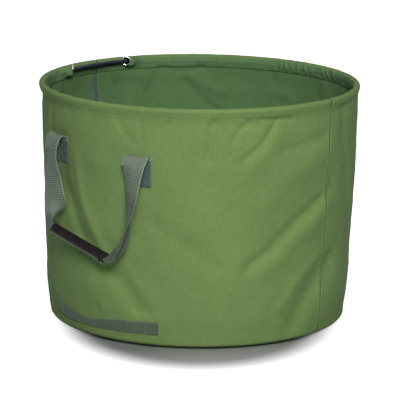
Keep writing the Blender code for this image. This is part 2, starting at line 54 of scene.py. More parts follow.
# The bag, as in the CAD. A few values are read more closely from the photograph
HEIGHT = 0.490
RIM_RADIUS = 0.329
RIM_DEGREE = RIM_RADIUS * MILLIMETRES * math.pi / 180.0
BASE_RADIUS = 0.3075
TAPER_POWER = 1.6
CLOTH = 0.0016
CORNER_RADIUS = 0.008
RIGHT_SEAM = 92.3
LEFT_SEAM = -97.0
SEAMS = (RIGHT_SEAM, LEFT_SEAM)
GAP = 0.0003
HOOP_RADIUS = 0.3256
HOOP_TUBE = 0.0088
HOOP_BORE = 0.0072
CASING_RADIUS = 0.0059
HOOP_Z = HEIGHT - CLOTH / 2 - CASING_RADIUS
PINCH_Z = 0.4665
HEM_FACE_Z = 0.4722
HEM_SLOPE_Z = 0.4760
HEM_LOW_Z = PINCH_Z - 0.001
HEM_EDGE_Z = 0.4620
HEM_GAP = 0.0005
HEM_STITCH_Z = 0.4650
FOLDS_TOP = 0.4640
PUCKERS_LOW = 0.4690
DRAWN_IN = 0.0016
DRAWN_FROM = 0.425
EYELETS = (("left", -80.4, -1), ("right", -110.0, 1))
EXIT_OFFSET = 0.0156
EXIT_DROP = 0.0010
EXIT_START = -0.034
EXIT_END = 0.014
EYELET_LIFT = 0.0026
EYELET_FACE = -0.0135
POCKET_START = -0.044
POCKET_TOP = -0.0095
POCKET_END = 0.0095
POCKET_DEPTH = 0.0126
POCKET_CORNER = 0.0018
POCKET_REACH = 0.1
POCKET_SLOPE = 0.0055
EYELET_RADIUS = 0.0100
EYELET_HOLE = 0.0073
EYELET_CUT = 0.0081
SEAM_RISE = 0.0045
SEAM_ALLOWANCE = 0.010
SEAM_LEAN = 62.0
BINDING = 0.0010
TAPE_WIDTH = 0.020
TAPE_LOW = 0.022
TAPE_LEAN = 0.005
TAPE_STITCH = 0.0072
TAPE_GAP = 0.0005
TAPE_RIBS = 0.0022
FRONT_CUT = 1.087
BACK_CUT = 0.980
WALL_LEVELS = (0.0165, 0.4635, 92)
EYELET_DOME = 0.0017

# Steps round the wall in degrees, and finer ones within metres of an eyelet or degrees of a seam
WALL_STEP = 0.5
EYELET_STEPS = ((0.055, 0.4), (0.016, 0.2))
SEAM_STEPS = ((2.6, 0.22), (0.6, 0.10))

# Webbing. For each hand: the heights of a sewn end, and its fold's reach, shape, lean and slump
WEBBING = 0.050
WEBBING_THICKNESS = 0.0014
SEWN_GAP = 0.0004
SEWN_TOP = 0.014
SEWN_BOX = 0.0205
ANCHOR_ANGLE = 18.4
ANCHORS = {-1: (0.351, 0.3943), 1: (0.329, 0.3833)}
FOLDS_OUT = {-1: (0.0088, 1.10, 0.0065, 0.004), 1: (0.0068, 0.75, 0.0050, 0.006)}
FOLD_HALF = 0.0084
FOLD_TURNS = (180.0, 150.0, 120.0, 90.0, 60.0, 30.0, 5.0)
FOLDED = 179.4
FOLD_BEND = 0.011
TIGHT_BEND = 0.0022
BLEND_LENGTH = 0.030
RIB_PITCH = 0.0042
RIB_HEIGHT = 0.00027
FOLD_RIBS = 0.08
RIBS_START = 0.031
RIBS_END = (0.150, 0.094)
RIBS_FADE = 0.020
STRAP_STEP = 0.0014
STRAP_COLUMNS = (0.0, 0.0009, 0.0018, 0.0029, 0.0045, 0.0070)
STRAP_SHARES = (0.2, 0.4, 0.6, 0.8, 0.93, 1.0)
# Carry strap rows: place along the front, outwards and up, direction of its width, fold in degrees
STRAP_LEFT = (
    (-0.1115, 0.3310, 0.382, 0.90, 0.44, 0.0, 3.0),
    (-0.1105, 0.3345, 0.350, 0.93, 0.36, 0.0, 6.0),
    (-0.1040, 0.3365, 0.315, 0.99, 0.09, 0.0, 10.0),
    (-0.0970, 0.3383, 0.277, 0.975, -0.20, 0.0, 28.0),
    (-0.0965, 0.3400, 0.253, 0.674, -0.729, -0.10, 100.0),
    (-0.0985, 0.3407, 0.241, 0.166, -0.981, 0.053, 160.0),
)
STRAP_RIGHT = (
    (0.0670, 0.3462, 0.201, -0.05, -1.0, 0.05, 160.0),
    (0.0800, 0.3470, 0.212, -0.18, -0.98, 0.08, 115.0),
    (0.0885, 0.3470, 0.224, -0.32, -0.94, 0.05, 70.0),
    (0.0945, 0.3465, 0.237, -0.44, -0.90, 0.0, 36.0),
    (0.0985, 0.3460, 0.248, -0.52, -0.85, 0.0, 20.0),
    (0.1010, 0.3450, 0.262, -0.633, -0.774, 0.0, 14.0),
    (0.1026, 0.3440, 0.280, -0.80, -0.60, 0.0, 24.0),
    (0.1032, 0.3420, 0.305, -0.90, -0.43, 0.0, 34.0),
    (0.1044, 0.3385, 0.335, -0.967, -0.255, 0.0, 30.0),
    (0.1050, 0.3340, 0.362, -1.0, 0.0, 0.0, 18.0),
    (0.1047, 0.3306, 0.374, -0.985, 0.17, 0.0, 8.0),
)
TIPPING_CENTRE = -1.0
TIPPING_SPAN = 52.0
TIPPING_LOW = 0.0225
TIPPING_HEIGHT = 0.025
TIPPING_PITCH = 0.0040
TIPPING_RIBS = 0.00034
TIPPING_FOLD = 0.026
TIPPING_BOX = 0.0100
TIPPING_BOX_IN = 0.0125
DOUBLED_RISE = 0.0007
DOUBLED_HALF = 0.0005

# Where straps are sewn flat: angle, its reach and fade, height and half height
SEWN_FLAT = (
    (-ANCHOR_ANGLE, 12.0, 6.0, 0.365, 0.035),
    (ANCHOR_ANGLE, 12.0, 6.0, 0.365, 0.035),
    (TIPPING_CENTRE, 42.0, 14.0, 0.035, 0.018),
)

# The sleeve, as places along the front, outwards and up
GRIP_LEFT = np.array((-0.100, 0.341, 0.224))
GRIP_RIGHT = np.array((0.045, 0.345, 0.185))
GRIP_LENGTH = float(np.linalg.norm(GRIP_RIGHT - GRIP_LEFT))
GRIP_ALONG = (GRIP_RIGHT - GRIP_LEFT) / GRIP_LENGTH
GRIP_UP = np.array((-GRIP_ALONG[2], 0.0, GRIP_ALONG[0]))
OUTWARDS = np.array((0.0, 1.0, 0.0))
GRIP_HEIGHT = 0.0212
GRIP_DEPTH = 0.0090
GRIP_WALL = 0.0012
GRIP_DROP = 0.0025
GRIP_SWAY = 0.0008
GRIP_SLANT = 0.0060
GRIP_MOUTH = 0.003
GRIP_INSIDE = 0.004
GRIP_SQUARE_UP = 0.80
GRIP_SQUARE_OUT = 0.72
GRIP_PINCH = 0.45
FLARE_LEFT = 0.10
FLARE_RIGHT = 0.14
MOUTH_DROOP = 0.0045
LIP_UP = 0.0017
LIP_OUT = 0.0011

# Thread: stitch length and gap, radius and how far it sinks in, and a stitch's bulge along itself
HEM_STITCH = (0.0030, 0.0014)
STRAP_STITCH = (0.0026, 0.0012)
THREAD = 0.00030
THREAD_SINK = 0.25
THREAD_SIDES = 6
THREAD_FORM = ((0.0, 0.30), (0.12, 0.85), (0.5, 1.0), (0.88, 0.85), (1.0, 0.30))

# Colours, linear, and shades that multiply them
CANVAS_GREEN = (0.180, 0.274, 0.093)
BASE_GREEN = (0.130, 0.200, 0.070)
WEBBING_GREEN = (0.165, 0.208, 0.160)
# The sewn strap ends: the carry webbing darkened with painted shade
SHADED_PATCH_GREEN = (0.082, 0.118, 0.112)
TIPPING_GREEN = (0.105, 0.138, 0.104)
TAPE_GREEN = (0.102, 0.155, 0.106)
THREAD_GREEN = (0.130, 0.205, 0.075)
TUBE_BLACK = (0.006, 0.012, 0.020)
GRIP_BROWN = (0.0100, 0.0066, 0.0082)
LIP_MAUVE = (0.100, 0.085, 0.095)
CHROME = (0.80, 0.80, 0.80)
# Painted shade on the wall's inner faces, and painted light, lighter and bluer, on the hem's inner face
INSIDE_PAINTED_SHADE = (0.60, 0.76, 0.88)
HEM_PAINTED_LIGHT = (0.80, 0.98, 1.30)
SEAM_SHADE = 0.15
# How much painted shade darkens the carry strap's middle
MIDDLE_SHADE = 0.46
OUTER_HEM_SHADE = 0.10
INNER_HEM_SHADE = 0.34

# Painted shade in the webbing's furrows and painted highlight on its crests, and how much lighter its
# edges are
PLAIN_TONES = (0.55, 1.14, 0.30)
CARRY_TONES = (0.50, 1.14, 0.50)
TIPPING_TONES = (0.40, 1.35, 0.10)

# The photograph's camera, for an image of 400 x 400
IMAGE = 400
FOCAL_PIXELS = 2608.0
DISTANCE = 5.4586
TARGET_Z = 0.2349
ELEVATION = math.radians(12.6845)
AZIMUTH = math.radians(39.3)
BAG_LEFT = -51.0
BAG_RIGHT = 129.0
ROLL = 0.0118
LEFT_BY_PIXELS = 1.8
SENSOR = 36.0

# The studio
DOME = 0.06
DOME_TINT = (0.74, 1.0, 1.0)
KEY_TINT = (1.0, 0.985, 0.95)
WHITE = (1.0, 1.0, 1.0)
# Painted shadow on the floor: half sizes of its oval and how far it reaches ahead of the bag
SHADOW_POOL = (0.27, 0.355)
SHADOW_POOL_AHEAD = 0.10
FLOOR_RADIUS = 14.0
FLOOR_SHADE = (0.89, 0.81, 0.91)
FLOOR_BOUNCE = (0.66, 0.80, 0.80)
# Where the painted shadow's oval fades into the floor's white glow
FLOOR_NEAR = 0.81
FLOOR_FAR = 1.14

# The wall's unevenness: size in mm, wave length in metres, number of waves, seed
UNEVENNESS = ((0.9, 0.210, 7, 11), (0.55, 0.085, 9, 12), (0.16, 0.034, 12, 13), (0.05, 0.016, 12, 14))
RIM_GATHERS = (0.34, 0.024, 10, 15)
FOOT_GATHERS = (0.30, 0.030, 10, 16)
GATHER_REACH = 0.016
FOOT_Z = 0.014
# The hem's roughness: size in mm, stretch along the cloth, wave length, number of waves, seed
HEM_ROUGHNESS = ((0.20, 0.6, 0.034, 12, 21), (0.12, 1.0, 0.012, 12, 22))
# Where the wall stands fuller all round, on the left and on the right: mm out, height and spread
FULLNESS = ((2.0, 0.085, 0.045), (1.6, 0.080, 0.030), (1.9, 0.190, 0.070))
HOLLOW_LEFT = 2.6
SIDE_SPREAD = 28.0
FOLD_SIZE = 1.65
FOLD_WIDTH = 1.3
# Folds in the wall: how far out and how wide in mm, then places as angle and height in mm
FOLDS = (
    (-3.5, 11, 93, 297, 85, 272, 77, 248, 67.5, 198, 58, 166),
    (-1.6, 25, 93, 322, 86, 296, 78, 266, 68, 216),
    (2.0, 15, 93, 274, 84, 240, 73, 197, 63, 152),
    (2.2, 22, 89, 385, 76, 352, 64, 300, 56, 262),
    (-4.2, 20, 97, 150, 90, 120, 82, 75, 78, 40),
    (1.4, 9, 88, 168, 79, 128, 71, 70),
    (-2.7, 6, 66.8, 457, 61.8, 415, 55, 385),
    (1.3, 9, 69, 440, 64.5, 402, 58, 372),
    (-2.0, 4.5, 57.2, 462, 53.4, 448, 51.3, 426),
    (-2.9, 6.5, 44.2, 462, 43.4, 425, 42.8, 389),
    (-1.8, 9, 71, 400, 80, 407, 91, 418),
    (2.4, 10, -12.5, 390, -7, 290, 1, 205, 5, 175),
    (-2.8, 12, -18.5, 400, -15, 290, -7, 205),
    (-3.2, 15, 1, 160, 6, 148, 11, 124, 19, 74),
    (1.6, 18, 9, 215, 18, 196, 27, 150),
    (-1.8, 15, 24, 250, 36.6, 207, 46, 170),
    (-1.1, 6, 10.6, 455, 13, 432, 17.2, 410),
    (-0.9, 5, 18.4, 464, 19.2, 430, 20.5, 400),
    (-1.2, 5, -0.5, 70, 0.4, 50),
    (-1.2, 6, 16.5, 75, 17, 50),
    (-2.0, 16, -74, 450, -70, 330, -76, 200, -72, 80),
    (-1.4, 16, -38, 440, -42, 330, -36, 240),
    (-2.6, 18, -84, 300, -74, 220, -58, 150),
    (-1.8, 13, -50, 120, -38, 80, -30, 30),
    (-2.4, 10, -45, 430, -40, 392),
    (-1.9, 3.6, 61, 465.5, 67, 464.5, 73.5, 464),
    (-1.5, 9, -27, 455, -25, 330, -28, 200),
    (-1.5, 11, 164.4, 418, 164, 446),
    (-2.4, 12, 101, 470, 103, 400, 108, 340, 113, 280),
    (-2.4, 18, 106, 300, 114, 210, 117, 130),
    (2.4, 8, 224.5, 428, 220, 393, 214, 368, 206, 350),
    (-1.7, 9, 223.5, 441, 213, 409, 199, 407, 183, 413),
    (1.6, 5, 235, 462, 225, 450, 218, 460),
    (1.5, 8, 252, 430, 249, 400),
    (1.8, 9, 239.5, 412, 237.5, 385, 234, 360),
    (-1.5, 8, 255, 456, 247, 448, 240, 444),
    (1.0, 6, 190.6, 458, 189.8, 438),
    (-3.0, 17, 168, 330, 180, 270, 196, 210, 206, 140),
    (2.0, 16, 172, 250, 186, 190, 192, 120),
    (-2.0, 14, 145, 420, 150, 330, 147, 220),
    (-3.0, 13, 142, 200, 150, 150, 160, 70),
    (-2.6, 16, 214, 260, 228, 200, 240, 110),
    (-1.8, 17, 246, 350, 252, 240, 246, 120),
    (-1.4, 7, 157, 90, 162, 55),
    (-1.4, 7, 232, 70, 238, 40),
)
HEM_PUCKERS = (
    185.9, 183.6, 180.7, 177.6, 173.9, 171.2, 169.9, 163.9, 160.8, 156.3, 292.6, 287.8, 282.7, 212.0,
    219.5, 231.0, 244.5, 268.0, 138.0, 126.5, 112.0, 78.0, 61.0, 47.5, 30.0, 9.0, -14.0, -36.0,
)


def around(radius, angle, z):
    """Points at these radii, angles in degrees and heights."""
    turn = np.radians(angle)
    parts = np.broadcast_arrays(radius * np.sin(turn), -radius * np.cos(turn), z)
    return np.stack(parts, axis=-1).astype(float)


def smooth(x):
    x = np.clip(x, 0.0, 1.0)
    return x * x * (3.0 - 2.0 * x)


def bell(x, width):
    return np.exp(-((x / width) ** 2))


def unit(vectors):
    return vectors / np.maximum(np.linalg.norm(vectors, axis=-1, keepdims=True), 1e-12)


def paired(first, second):
    return np.stack(np.broadcast_arrays(first, second), axis=-1)


def lengths(line):
    """Distance along a line of points at each of them."""
    return np.concatenate([[0.0], np.cumsum(np.linalg.norm(np.diff(line, axis=0), axis=1))])


def full_turn(count):
    """This many angles in radians all the way round."""
    return np.linspace(0.0, 2.0 * math.pi, count, endpoint=False)


def apart(angle, place):
    """Degrees from a place round the bag, from -180 to 180."""
    return (np.asarray(angle, float) - place + 180.0) % 360.0 - 180.0


def wall_radius(z):
    """Outer radius of the wall without its folds. It is drawn in a little under the rim's bead."""
    z = np.asarray(z, float)
    fall = np.maximum(1.0 - z / HEIGHT, 0.0)
    drawn = DRAWN_IN * smooth((z - DRAWN_FROM) / (PINCH_Z - DRAWN_FROM + 0.006))
    return RIM_RADIUS - (RIM_RADIUS - BASE_RADIUS) * fall**TAPER_POWER - drawn


def near_fold(angle, z, places):
    """Distance in mm of each point from a line of places."""
    middle = places[0]
    x, y = apart(angle, middle) * RIM_DEGREE, z * MILLIMETRES
    points = [(apart(a, middle) * RIM_DEGREE, h) for a, h in zip(places[::2], places[1::2])]
    best = np.full(np.shape(x + y), 1e9)
    for (x0, y0), (x1, y1) in zip(points[:-1], points[1:]):
        length = (x1 - x0) ** 2 + (y1 - y0) ** 2
        t = np.clip(((x - x0) * (x1 - x0) + (y - y0) * (y1 - y0)) / length, 0.0, 1.0)
        best = np.minimum(best, np.hypot(x - x0 - t * (x1 - x0), y - y0 - t * (y1 - y0)))
    return best


def waves(angle, z, length, count, seed):
    """Unit-sized unevenness of about this wave length in metres, without a join round the bag."""
    draw = np.random.default_rng(seed)
    turns = 2.0 * math.pi * RIM_RADIUS / length
    total = 0.0
    for _ in range(count):
        heading = draw.uniform(0.0, 2.0 * math.pi)
        stretch = draw.uniform(0.7, 1.4)
        across = round(turns * stretch * math.cos(heading))
        rise = 2.0 * math.pi / length * stretch * math.sin(heading)
        start = draw.uniform(0.0, 2.0 * math.pi)
        total = total + np.cos(np.radians(angle) * across + z * rise + start)
    return total / math.sqrt(count)


def quiet_by_straps(angle, z):
    """1 over most of the wall and less where straps are sewn flat to it."""
    held = 0.0
    for place, reach, fade, height, half in SEWN_FLAT:
        level = smooth(2.0 - np.abs(z - height) / half)
        for side in (0.0, 180.0):
            off = np.abs(apart(angle, side + place))
            held = np.maximum(held, level * smooth((reach - off) / fade))
    return 1.0 - 0.8 * held


def drape(angle, z):
    """How far the cloth stands out from the plain wall. Every size in here is in mm."""
    angle, z = np.broadcast_arrays(np.asarray(angle, float), np.asarray(z, float))
    rise = sum(size * waves(angle, z, *wave) for size, *wave in UNEVENNESS)
    for out, width, *places in FOLDS:
        rise = rise + FOLD_SIZE * out * bell(near_fold(angle, z, places), FOLD_WIDTH * width)
    # Small gathers hang from the rim's stitching and stand over the base seam
    near_rim = np.exp(-np.maximum(PINCH_Z - z, 0.0) / GATHER_REACH)
    near_foot = bell(z - FOOT_Z, GATHER_REACH)
    for near, (size, *wave) in ((near_rim, RIM_GATHERS), (near_foot, FOOT_GATHERS)):
        rise = rise + size * near * waves(angle, z * 0.2, *wave)
    rise = rise * quiet_by_straps(angle, z)
    # The wall is fuller low down, most of all at the two sides of the photograph
    full, full_left, full_right = (out * bell(z - at, spread) for out, at, spread in FULLNESS)
    left, right = (bell(apart(angle, place), SIDE_SPREAD) for place in (BAG_LEFT, BAG_RIGHT))
    rise = rise + full + left * (full_left - HOLLOW_LEFT * smooth((z - 0.20) / 0.12)) + right * full_right
    # A side seam has one lapped edge, a furrow beside it and a low swelling over its allowance
    for seam in SEAMS:
        across = apart(angle, seam) * RIM_DEGREE
        rise = rise * (1.0 - 0.4 * bell(across, 12.0))
        rise = rise + bell(across, 9.0) * (1.0 - smooth((across + 0.6) / 1.2))
        rise = rise + 0.7 * bell(across - 5.5, 3.5) - 0.4 * bell(across - 1.0, 1.1)
    return 0.001 * rise * smooth((z - SEAM_RISE) / 0.022) * (1.0 - smooth((z - FOLDS_TOP) / 0.012))


def skin(angle, z):
    """Outer radius of the wall with its folds."""
    return wall_radius(z) + drape(angle, z)


def from_eyelet(angle, eyelet):
    """Distance along the hoop from an eyelet, positive on the side where the hoop is bare."""
    return eyelet[2] * np.radians(apart(angle, eyelet[1])) * HOOP_RADIUS


def hoop_points(angle):
    """The hoop's middle line, which leaves its casing between the eyelets."""
    share = 1.0
    for eyelet in EYELETS:
        share = share * smooth((from_eyelet(angle, eyelet) - EXIT_START) / (EXIT_END - EXIT_START))
    return around(HOOP_RADIUS - EXIT_OFFSET * share, angle, HOOP_Z - EXIT_DROP * share)


def pocket(angle):
    """How far the hem is drawn inwards at an eyelet."""
    depth = 0.0
    for eyelet in EYELETS:
        along = from_eyelet(angle, eyelet)
        rise = smooth((along - POCKET_START) / (POCKET_TOP - POCKET_START))
        fall = np.clip((along - POCKET_TOP) / (POCKET_END - POCKET_TOP), 0.0, 1.0)
        depth = depth + POCKET_DEPTH * np.where(along < POCKET_REACH, rise - fall, 0.0)
    return depth


def by_eyelet(angle):
    """1 where the hem's face carries an eyelet and 0 further into the casing."""
    return sum(smooth((from_eyelet(angle, e) - EYELET_FACE) / 0.004) for e in EYELETS).clip(0.0, 1.0)


def arc(centre, radius, start, end, steps):
    """Points of a round stretch in the (radius, height) plane, angles in degrees from outwards."""
    turn = np.radians(np.linspace(start, end, steps + 1))
    return np.stack([centre[0] + radius * np.cos(turn), centre[1] + radius * np.sin(turn)], axis=1)


def seam_point():
    """Centre of the rounded corner and the angle on it where the base seam shows."""
    centre = (wall_radius(CORNER_RADIUS) - CLOTH / 2 - CORNER_RADIUS, CORNER_RADIUS + CLOTH / 2)
    return centre, -math.degrees(math.asin((centre[1] - SEAM_RISE) / CORNER_RADIUS))


def seam_leaf(side):
    """Tip and foot of the seam allowance: side 1 belongs to the wall, side -1 to the base."""
    centre, start = seam_point()
    at = arc(centre, CORNER_RADIUS, start, start, 1)[0]
    lean = math.radians(180.0 - SEAM_LEAN)
    inwards = np.array((math.cos(lean), math.sin(lean)))
    across = np.array((inwards[1], -inwards[0])) * side * (CLOTH + GAP) / 2
    foot = at + across + inwards * 0.0006
    return np.array([foot + inwards * SEAM_ALLOWANCE, foot])


def wall_middles(angles):
    """Middle surface of the wall cloth, a column of points for each angle, from seam to hem."""
    centre, start = seam_point()
    tip, foot = seam_leaf(1)
    lower = [tip + (foot - tip) * t for t in (0.0, 0.3, 0.6, 0.85, 1.0)]
    lower += list(arc(centre, CORNER_RADIUS, start, 0.0, 9)[1:])
    lower += [(wall_radius(z) - CLOTH / 2, z) for z in np.linspace(*WALL_LEVELS)]
    pinch = np.array((wall_radius(PINCH_Z) - CLOTH / 2 - 0.0005, PINCH_Z))
    casing = arc((HOOP_RADIUS, HOOP_Z), CASING_RADIUS, -30.0, 78.0, 14)
    lower.append(pinch)
    for t in (0.2, 0.4, 0.6, 0.8):
        lower.append(pinch + (casing[0] - pinch) * t + (0.0004 * math.sin(math.pi * t), 0.0))
    lower += list(casing)

    # Over the hoop and down inside, the section changes round the bag
    drawn = pocket(angles)
    share = np.minimum(drawn / (0.5 * POCKET_DEPTH), 1.0)
    full = smooth((drawn / POCKET_DEPTH - 0.5) / 0.5) * by_eyelet(angles)
    corner = CASING_RADIUS + (POCKET_CORNER - CASING_RADIUS) * share
    inner = HOOP_RADIUS - CASING_RADIUS - drawn
    top = HOOP_Z + CASING_RADIUS - corner + EYELET_LIFT * full
    face_low = HEM_FACE_Z + (HEM_SLOPE_Z + POCKET_SLOPE * share - HEM_FACE_Z) * (1.0 - full)
    edge = float(wall_radius(HEM_EDGE_Z)) - 1.5 * CLOTH - HEM_GAP
    held = edge - 0.0004
    upper = []
    for turn in np.radians(np.linspace(90.0, 180.0, 9)):
        upper.append((inner + corner + corner * np.cos(turn), top + corner * np.sin(turn)))
    for t in np.linspace(0.0, 1.0, 13)[1:]:
        upper.append((inner, top + (face_low - top) * t))
    for t in (0.15, 0.3, 0.45, 0.6, 0.75, 0.9, 1.0):
        upper.append((inner + (held - inner) * t, face_low + (HEM_LOW_Z - face_low) * t))
    for t in (0.4, 0.75, 1.0):
        upper.append((held + (edge - held) * t + 0 * inner, HEM_LOW_Z + (HEM_EDGE_Z - HEM_LOW_Z) * t))
    low = np.repeat(np.array(lower)[:, None, :], len(angles), axis=1)
    line = np.concatenate([low, np.array([paired(r, z) for r, z in upper])])
    for _ in range(2):
        line[6:-2] = 0.25 * line[5:-3] + 0.5 * line[6:-2] + 0.25 * line[7:-1]
    return ruffled(line, angles)


def ruffled(line, angles):
    """The plain section with the wall's folds and the rim's puckers added."""
    r, z = line[..., 0], line[..., 1]
    turn = np.broadcast_to(angles[None, :], r.shape)
    steps = np.gradient(line, axis=0)
    normal = unit(np.stack([steps[..., 1], -steps[..., 0]], axis=-1))
    path = lengths(line[:, 0])
    rim = smooth((z - PUCKERS_LOW) / 0.006)
    hem = (path > path[-1] - 0.030)[:, None]
    rim = 0.001 * np.maximum(rim, smooth((z - FOLDS_TOP) / 0.004) * hem)
    clear = 1.0
    for eyelet in EYELETS:
        clear = clear * smooth((np.abs(from_eyelet(turn, eyelet)) - 0.014) / 0.020)
    inside = smooth((path - path[-1] + 0.031) / 0.008)[:, None]
    rough = 0.0
    for size, stretch, *wave in HEM_ROUGHNESS:
        rough = rough + size * waves(turn, path[:, None] * stretch, *wave)
    slant = (z - 0.478) * 420.0
    for i, place in enumerate(HEM_PUCKERS):
        across = apart(turn, place) * RIM_DEGREE - slant * (0.55 if i % 3 else -0.3)
        rough = rough + (1.9 * inside - 0.12 * (1 - inside)) * bell(across, 2.6)
    seams = sum(bell(apart(turn, seam) * RIM_DEGREE, 2.0) for seam in SEAMS)
    push = rim * clear * (rough - 0.9 * seams)
    return around(r + drape(turn, z) + normal[..., 0] * push, turn, z + normal[..., 1] * push), path


def add_object(name, data):
    obj = bpy.data.objects.new(name, data)
    bpy.context.scene.collection.objects.link(obj)
    return obj


def mesh_object(name, points, faces, uv=None, sharp=40.0):
    """An object of these points and faces, with a place in metres along the cloth for its weave."""
    mesh = bpy.data.meshes.new(name)
    mesh.from_pydata(np.asarray(points).tolist(), [], [tuple(int(i) for i in face) for face in faces])
    mesh.validate()
    if uv is not None:
        corner = np.empty(len(mesh.loops), np.int32)
        mesh.loops.foreach_get("vertex_index", corner)
        layer = mesh.uv_layers.new(name="cloth")
        layer.data.foreach_set("uv", np.asarray(uv, np.float32)[corner].ravel())
    mesh.shade_smooth()
    mesh.set_sharp_from_angle(angle=math.radians(sharp))
    return add_object(name, mesh)


def quads_of(index):
    """The cells of a grid of point numbers."""
    return np.stack([index[:-1, :-1], index[:-1, 1:], index[1:, 1:], index[1:, :-1]], axis=-1)


def corners_of(cells):
    """The points of a grid that touch any of these cells."""
    rows, columns = cells.shape
    found = np.zeros((rows + 1, columns + 1), bool)
    for row in (0, 1):
        for column in (0, 1):
            found[row:row + rows, column:column + columns] |= cells
    return found


def grid_normals(grid, wrap):
    """Unit normals of a grid of points, rows first."""
    if wrap:
        padded = np.concatenate([grid[:, -1:], grid, grid[:, :1]], axis=1)
        along = np.gradient(padded, axis=1)[:, 1:-1]
    else:
        along = np.gradient(grid, axis=1)
    return unit(np.cross(along, np.gradient(grid, axis=0)))


def thick_grid(name, grid, half, uv, wrap=False, cut=None):
    """A closed sheet round a grid of its middle surface. half may differ from point to point."""
    rows, columns = grid.shape[:2]
    offset = grid_normals(grid, wrap) * np.broadcast_to(half, (rows, columns))[..., None]
    count = rows * columns
    points = np.concatenate([(grid + offset).reshape(-1, 3), (grid - offset).reshape(-1, 3)])
    index = np.arange(count).reshape(rows, columns)
    if wrap:
        index = np.concatenate([index, index[:, :1]], axis=1)
    quads = quads_of(index)
    kept = quads.reshape(-1, 4) if cut is None else quads[~cut].reshape(-1, 4)
    starts, ends = kept.ravel(), np.roll(kept, -1, axis=1).ravel()
    rim = ~np.isin(starts * count + ends, ends * count + starts)
    a, b = starts[rim], ends[rim]
    sides = np.stack([b, a, a + count, b + count], axis=1)
    faces = np.concatenate([kept, kept[:, ::-1] + count, sides])
    used = np.unique(faces)
    fresh = np.zeros(2 * count, int)
    fresh[used] = np.arange(len(used))
    both = np.concatenate([uv.reshape(-1, 2)] * 2)[used]
    return mesh_object(name, points[used], fresh[faces], both)


def sheet_for(node, name, grid, half, uv, **kind):
    """A closed sheet that stands for a CAD node."""
    piece = thick_grid(name, grid, half, uv, **kind)
    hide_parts(node)
    return piece


def tube_grid(centres, radius, sides):
    """Rings round a line: each ring's first point is its highest."""
    along = unit(np.gradient(centres, axis=0))
    up = unit((0.0, 0.0, 1.0) - along * along[:, 2:])
    aside = np.cross(along, up)
    turn = full_turn(sides)[None, :, None]
    reach = np.broadcast_to(radius, (len(centres),))[:, None, None]
    return centres[:, None] + reach * (up[:, None] * np.cos(turn) + aside[:, None] * np.sin(turn))


def rings_object(name, rings, closed=False, sharp=40.0):
    """A closed body through rings of points, capped at its ends unless it runs full circle."""
    count, sides = rings.shape[:2]
    index = np.arange(count * sides).reshape(count, sides)
    index = np.concatenate([index, index[:, :1]], axis=1)
    if closed:
        index = np.concatenate([index, index[:1]])
    faces = [tuple(quad) for quad in quads_of(index).reshape(-1, 4)]
    if not closed:
        faces += [tuple(range(sides))[::-1], tuple(range((count - 1) * sides, count * sides))]
    points = rings.reshape(-1, 3)
    corners = [[points[f[k]] for k in (0, 1, 2, -1)] for f in faces]
    volume = sum(np.dot(a, np.cross(b, c + d)) for a, b, c, d in corners)
    if volume < 0:
        faces = [f[::-1] for f in faces]
    return mesh_object(name, points, faces, sharp=sharp)


def spaced_angles(start, end):
    """Angles from start to end, closer together near the eyelets and the side seams."""
    found = [start]
    while found[-1] < end:
        here = found[-1]
        near = min(abs(float(from_eyelet(here, eyelet))) for eyelet in EYELETS)
        seam = min(abs(float(apart(here, place))) for place in SEAMS)
        size = WALL_STEP
        for off, steps in ((near, EYELET_STEPS), (seam, SEAM_STEPS)):
            size = min([size] + [finer for reach, finer in steps if off < reach])
        found.append(here + size)
    found = np.array(found)
    return start + (found - start) * (end - start) / (found[-1] - start)


def eyelet_frame(eyelet):
    """Centre, outward axis and level side of an eyelet, which lies on the slope of its pocket."""
    _, place, bare_side = eyelet
    centre_radius = HOOP_RADIUS - CASING_RADIUS - POCKET_DEPTH / 2
    centre = around(centre_radius, place, HOOP_Z - EXIT_DROP)
    inwards = -around(1.0, place, 0.0)
    along = around(1.0, place + 90.0 * bare_side, 0.0)
    slope = math.atan2(POCKET_DEPTH, (POCKET_END - POCKET_TOP) * centre_radius / HOOP_RADIUS)
    axis = inwards * math.cos(slope) + along * math.sin(slope)
    side = along * math.cos(slope) - inwards * math.sin(slope)
    return centre, axis, side


def make_wall(name, start, end, node, flat_width):
    """Half of the wall in one cloth, turned over the hoop and sewn down inside as a hem."""
    edge = math.degrees(0.25 * GAP / BASE_RADIUS)
    angles = spaced_angles(start + edge, end - edge)
    grid, path = wall_middles(angles)
    cut = np.zeros((grid.shape[0] - 1, grid.shape[1] - 1), bool)
    for eyelet in EYELETS:
        centre, axis, _ = eyelet_frame(eyelet)
        off = grid - centre
        depth = (off * axis).sum(axis=-1)
        flat = off - depth[..., None] * axis
        reach = np.linalg.norm(flat, axis=-1)
        inside = (reach < EYELET_CUT) & (np.abs(depth) < 0.004)
        gone = inside[:-1, :-1] & inside[1:, :-1] & inside[:-1, 1:] & inside[1:, 1:]
        outwards = flat / np.maximum(reach, 1e-6)[..., None]
        pulled = centre + depth[..., None] * axis + outwards * EYELET_CUT
        grid = np.where((corners_of(gone) & corners_of(~gone))[..., None], pulled, grid)
        cut |= gone
    uv = paired((np.radians(angles - start) * RIM_RADIUS)[None, :], path[:, None])
    return sheet_for(node, name, grid, CLOTH / 2, uv, cut=cut), (flat_width, float(path[-1]))


